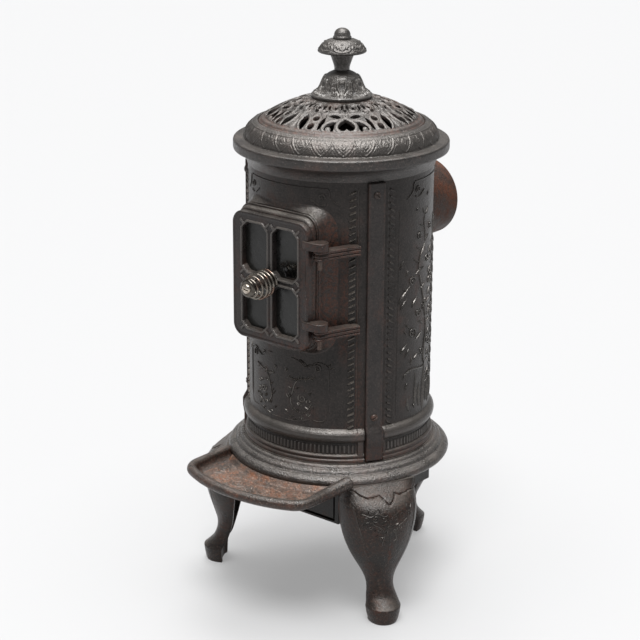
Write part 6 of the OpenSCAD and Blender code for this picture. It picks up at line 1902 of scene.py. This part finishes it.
            (O if b0 > 150 else W).leaf(*C((a0, b0), (a1, b1)), w, 0.9 * hk, n=6)
        O.cord(C((45.6, 166), (44.8, 158), (42.6, 147), (38.5, 132), (33.5, 118)), 0.6, 0.8 * hk, step=2.5)
    O.build(name.replace("_cast", "_foliage"), "stove", "leg_iron", M["leg_relief"], 0.0)
    W.build(name.replace("_cast", "_sprigs"), "stove", "leg_iron", M["bright_iron"], 0.0)
    pad = [(-12, -151), (12, -151), (12, -110), (-12, -110)]
    o = [(x * ca - y * sa, x * sa + y * ca) for x, y in refine(pad, 12)]
    prism(name + "_pad", o, 172, 178, 0.6, "stove", M["leg_iron"], 0.2, (node,), sub=0)


leg("leg_right_cast", 60, "leg_right")
leg("leg_left_cast", -60, "leg_left")
leg("leg_rear_cast", 180, "leg_rear")


# ------------------------------------------------------------------ softened edges on the plain castings
for node, width, seg in (("ash_box", 0.8, 2), ("ash_pan", 0.5, 2), ("ash_pan_front", 0.7, 2), ("flue_collar", 0.7, 2), ("fire_grate", 1.0, 2), ("hinge_pins", 0.6, 2),
                         ("inner_cover", 0.8, 2), ("latch_bar", 0.5, 2), ("latch_keeper", 0.5, 2), ("mica_retainer", 0.4, 1)):
    if node in NODES:
        w = NODES[node].modifiers.new("weld", "WELD")
        w.merge_threshold = 0.00001
        b = NODES[node].modifiers.new("edges", "BEVEL")
        b.width = width * 0.001
        b.segments = seg
        b.limit_method = "ANGLE"
        b.angle_limit = math.radians(40)
        b.harden_normals = False

# ------------------------------------------------------------------ studio and camera
def studio():
    me = bpy.data.meshes.new("floor")
    s = 14.0
    me.from_pydata([(-s, -s, 0), (s, -s, 0), (s, s, 0), (-s, s, 0)], [], [(0, 1, 2, 3)])
    floor = bpy.data.objects.new("floor", me)
    bpy.context.scene.collection.objects.link(floor)
    m = bpy.data.materials.new("floor_mat")
    m.use_nodes = True
    b = m.node_tree.nodes["Principled BSDF"]
    b.inputs["Base Color"].default_value = (0.27, 0.27, 0.272, 1)
    b.inputs["Roughness"].default_value = 0.55
    b.inputs["Specular IOR Level"].default_value = 0.25
    b.inputs["Emission Color"].default_value = (1.0, 1.0, 1.0, 1)
    b.inputs["Emission Strength"].default_value = 0.30
    me.materials.append(m)

    w = bpy.data.worlds.new("studio")
    bpy.context.scene.world = w
    w.use_nodes = True
    bg = w.node_tree.nodes["Background"]
    bg.inputs["Color"].default_value = (0.97, 0.985, 1.0, 1)
    bg.inputs["Strength"].default_value = 0.27

    def soft(name, energy, degrees, toward, right):
        """A round soft source far overhead, leaning toward the camera and to its right by the given slopes."""
        d = bpy.data.lights.new(name, "SUN")
        d.energy = energy
        d.angle = math.radians(degrees)
        o = bpy.data.objects.new(name, d)
        src = Vector((0.624 * toward + 0.781 * right, -0.781 * toward + 0.624 * right, 1.0))
        o.rotation_euler = (-src).to_track_quat("-Z", "Y").to_euler()
        bpy.context.scene.collection.objects.link(o)

    soft("overhead_wide", 3.6, 62, 0.06, 0.0)
    soft("overhead_rear", 1.1, 30, -0.45, 0.0)
    soft("overhead_core", 2.4, 24, 0.42, -0.05)


def camera():
    cp, sp = math.cos(0.324646574), math.sin(0.324646574)
    yaw, roll, az = -0.0114198848, -0.00586613291, math.radians(38.6)
    fwd, up, right = Vector((0, cp, -sp)), Vector((0, sp, cp)), Vector((1, 0, 0))
    c, s = math.cos(roll), math.sin(roll)
    X, Y, Z = right * c - up * s, right * s + up * c, -fwd
    cy, sy, ca, sa = math.cos(yaw), math.sin(yaw), math.cos(az), math.sin(az)

    def turn(v):
        x, y = cy * v.x + sy * v.y, -sy * v.x + cy * v.y
        return Vector((ca * x - sa * y, sa * x + ca * y, v.z))

    X, Y, Z = turn(X), turn(Y), turn(Z)
    m = Matrix(((X.x, Y.x, Z.x), (X.y, Y.y, Z.y), (X.z, Y.z, Z.z))).to_4x4()
    m.translation = Vector((1.4223, -1.7632, 1.1280))
    cam = bpy.data.cameras.new("camera")
    cam.sensor_width = 36.0
    cam.sensor_fit = "HORIZONTAL"
    cam.lens = 1809.30845 / 640 * 36
    cam.clip_start, cam.clip_end = 0.05, 60
    o = bpy.data.objects.new("camera", cam)
    o.matrix_world = m
    bpy.context.scene.collection.objects.link(o)
    bpy.context.scene.camera = o


studio()
camera()
sc = bpy.context.scene
sc.view_settings.view_transform = "Standard"
sc.view_settings.look = "None"
sc.view_settings.exposure = 0.0
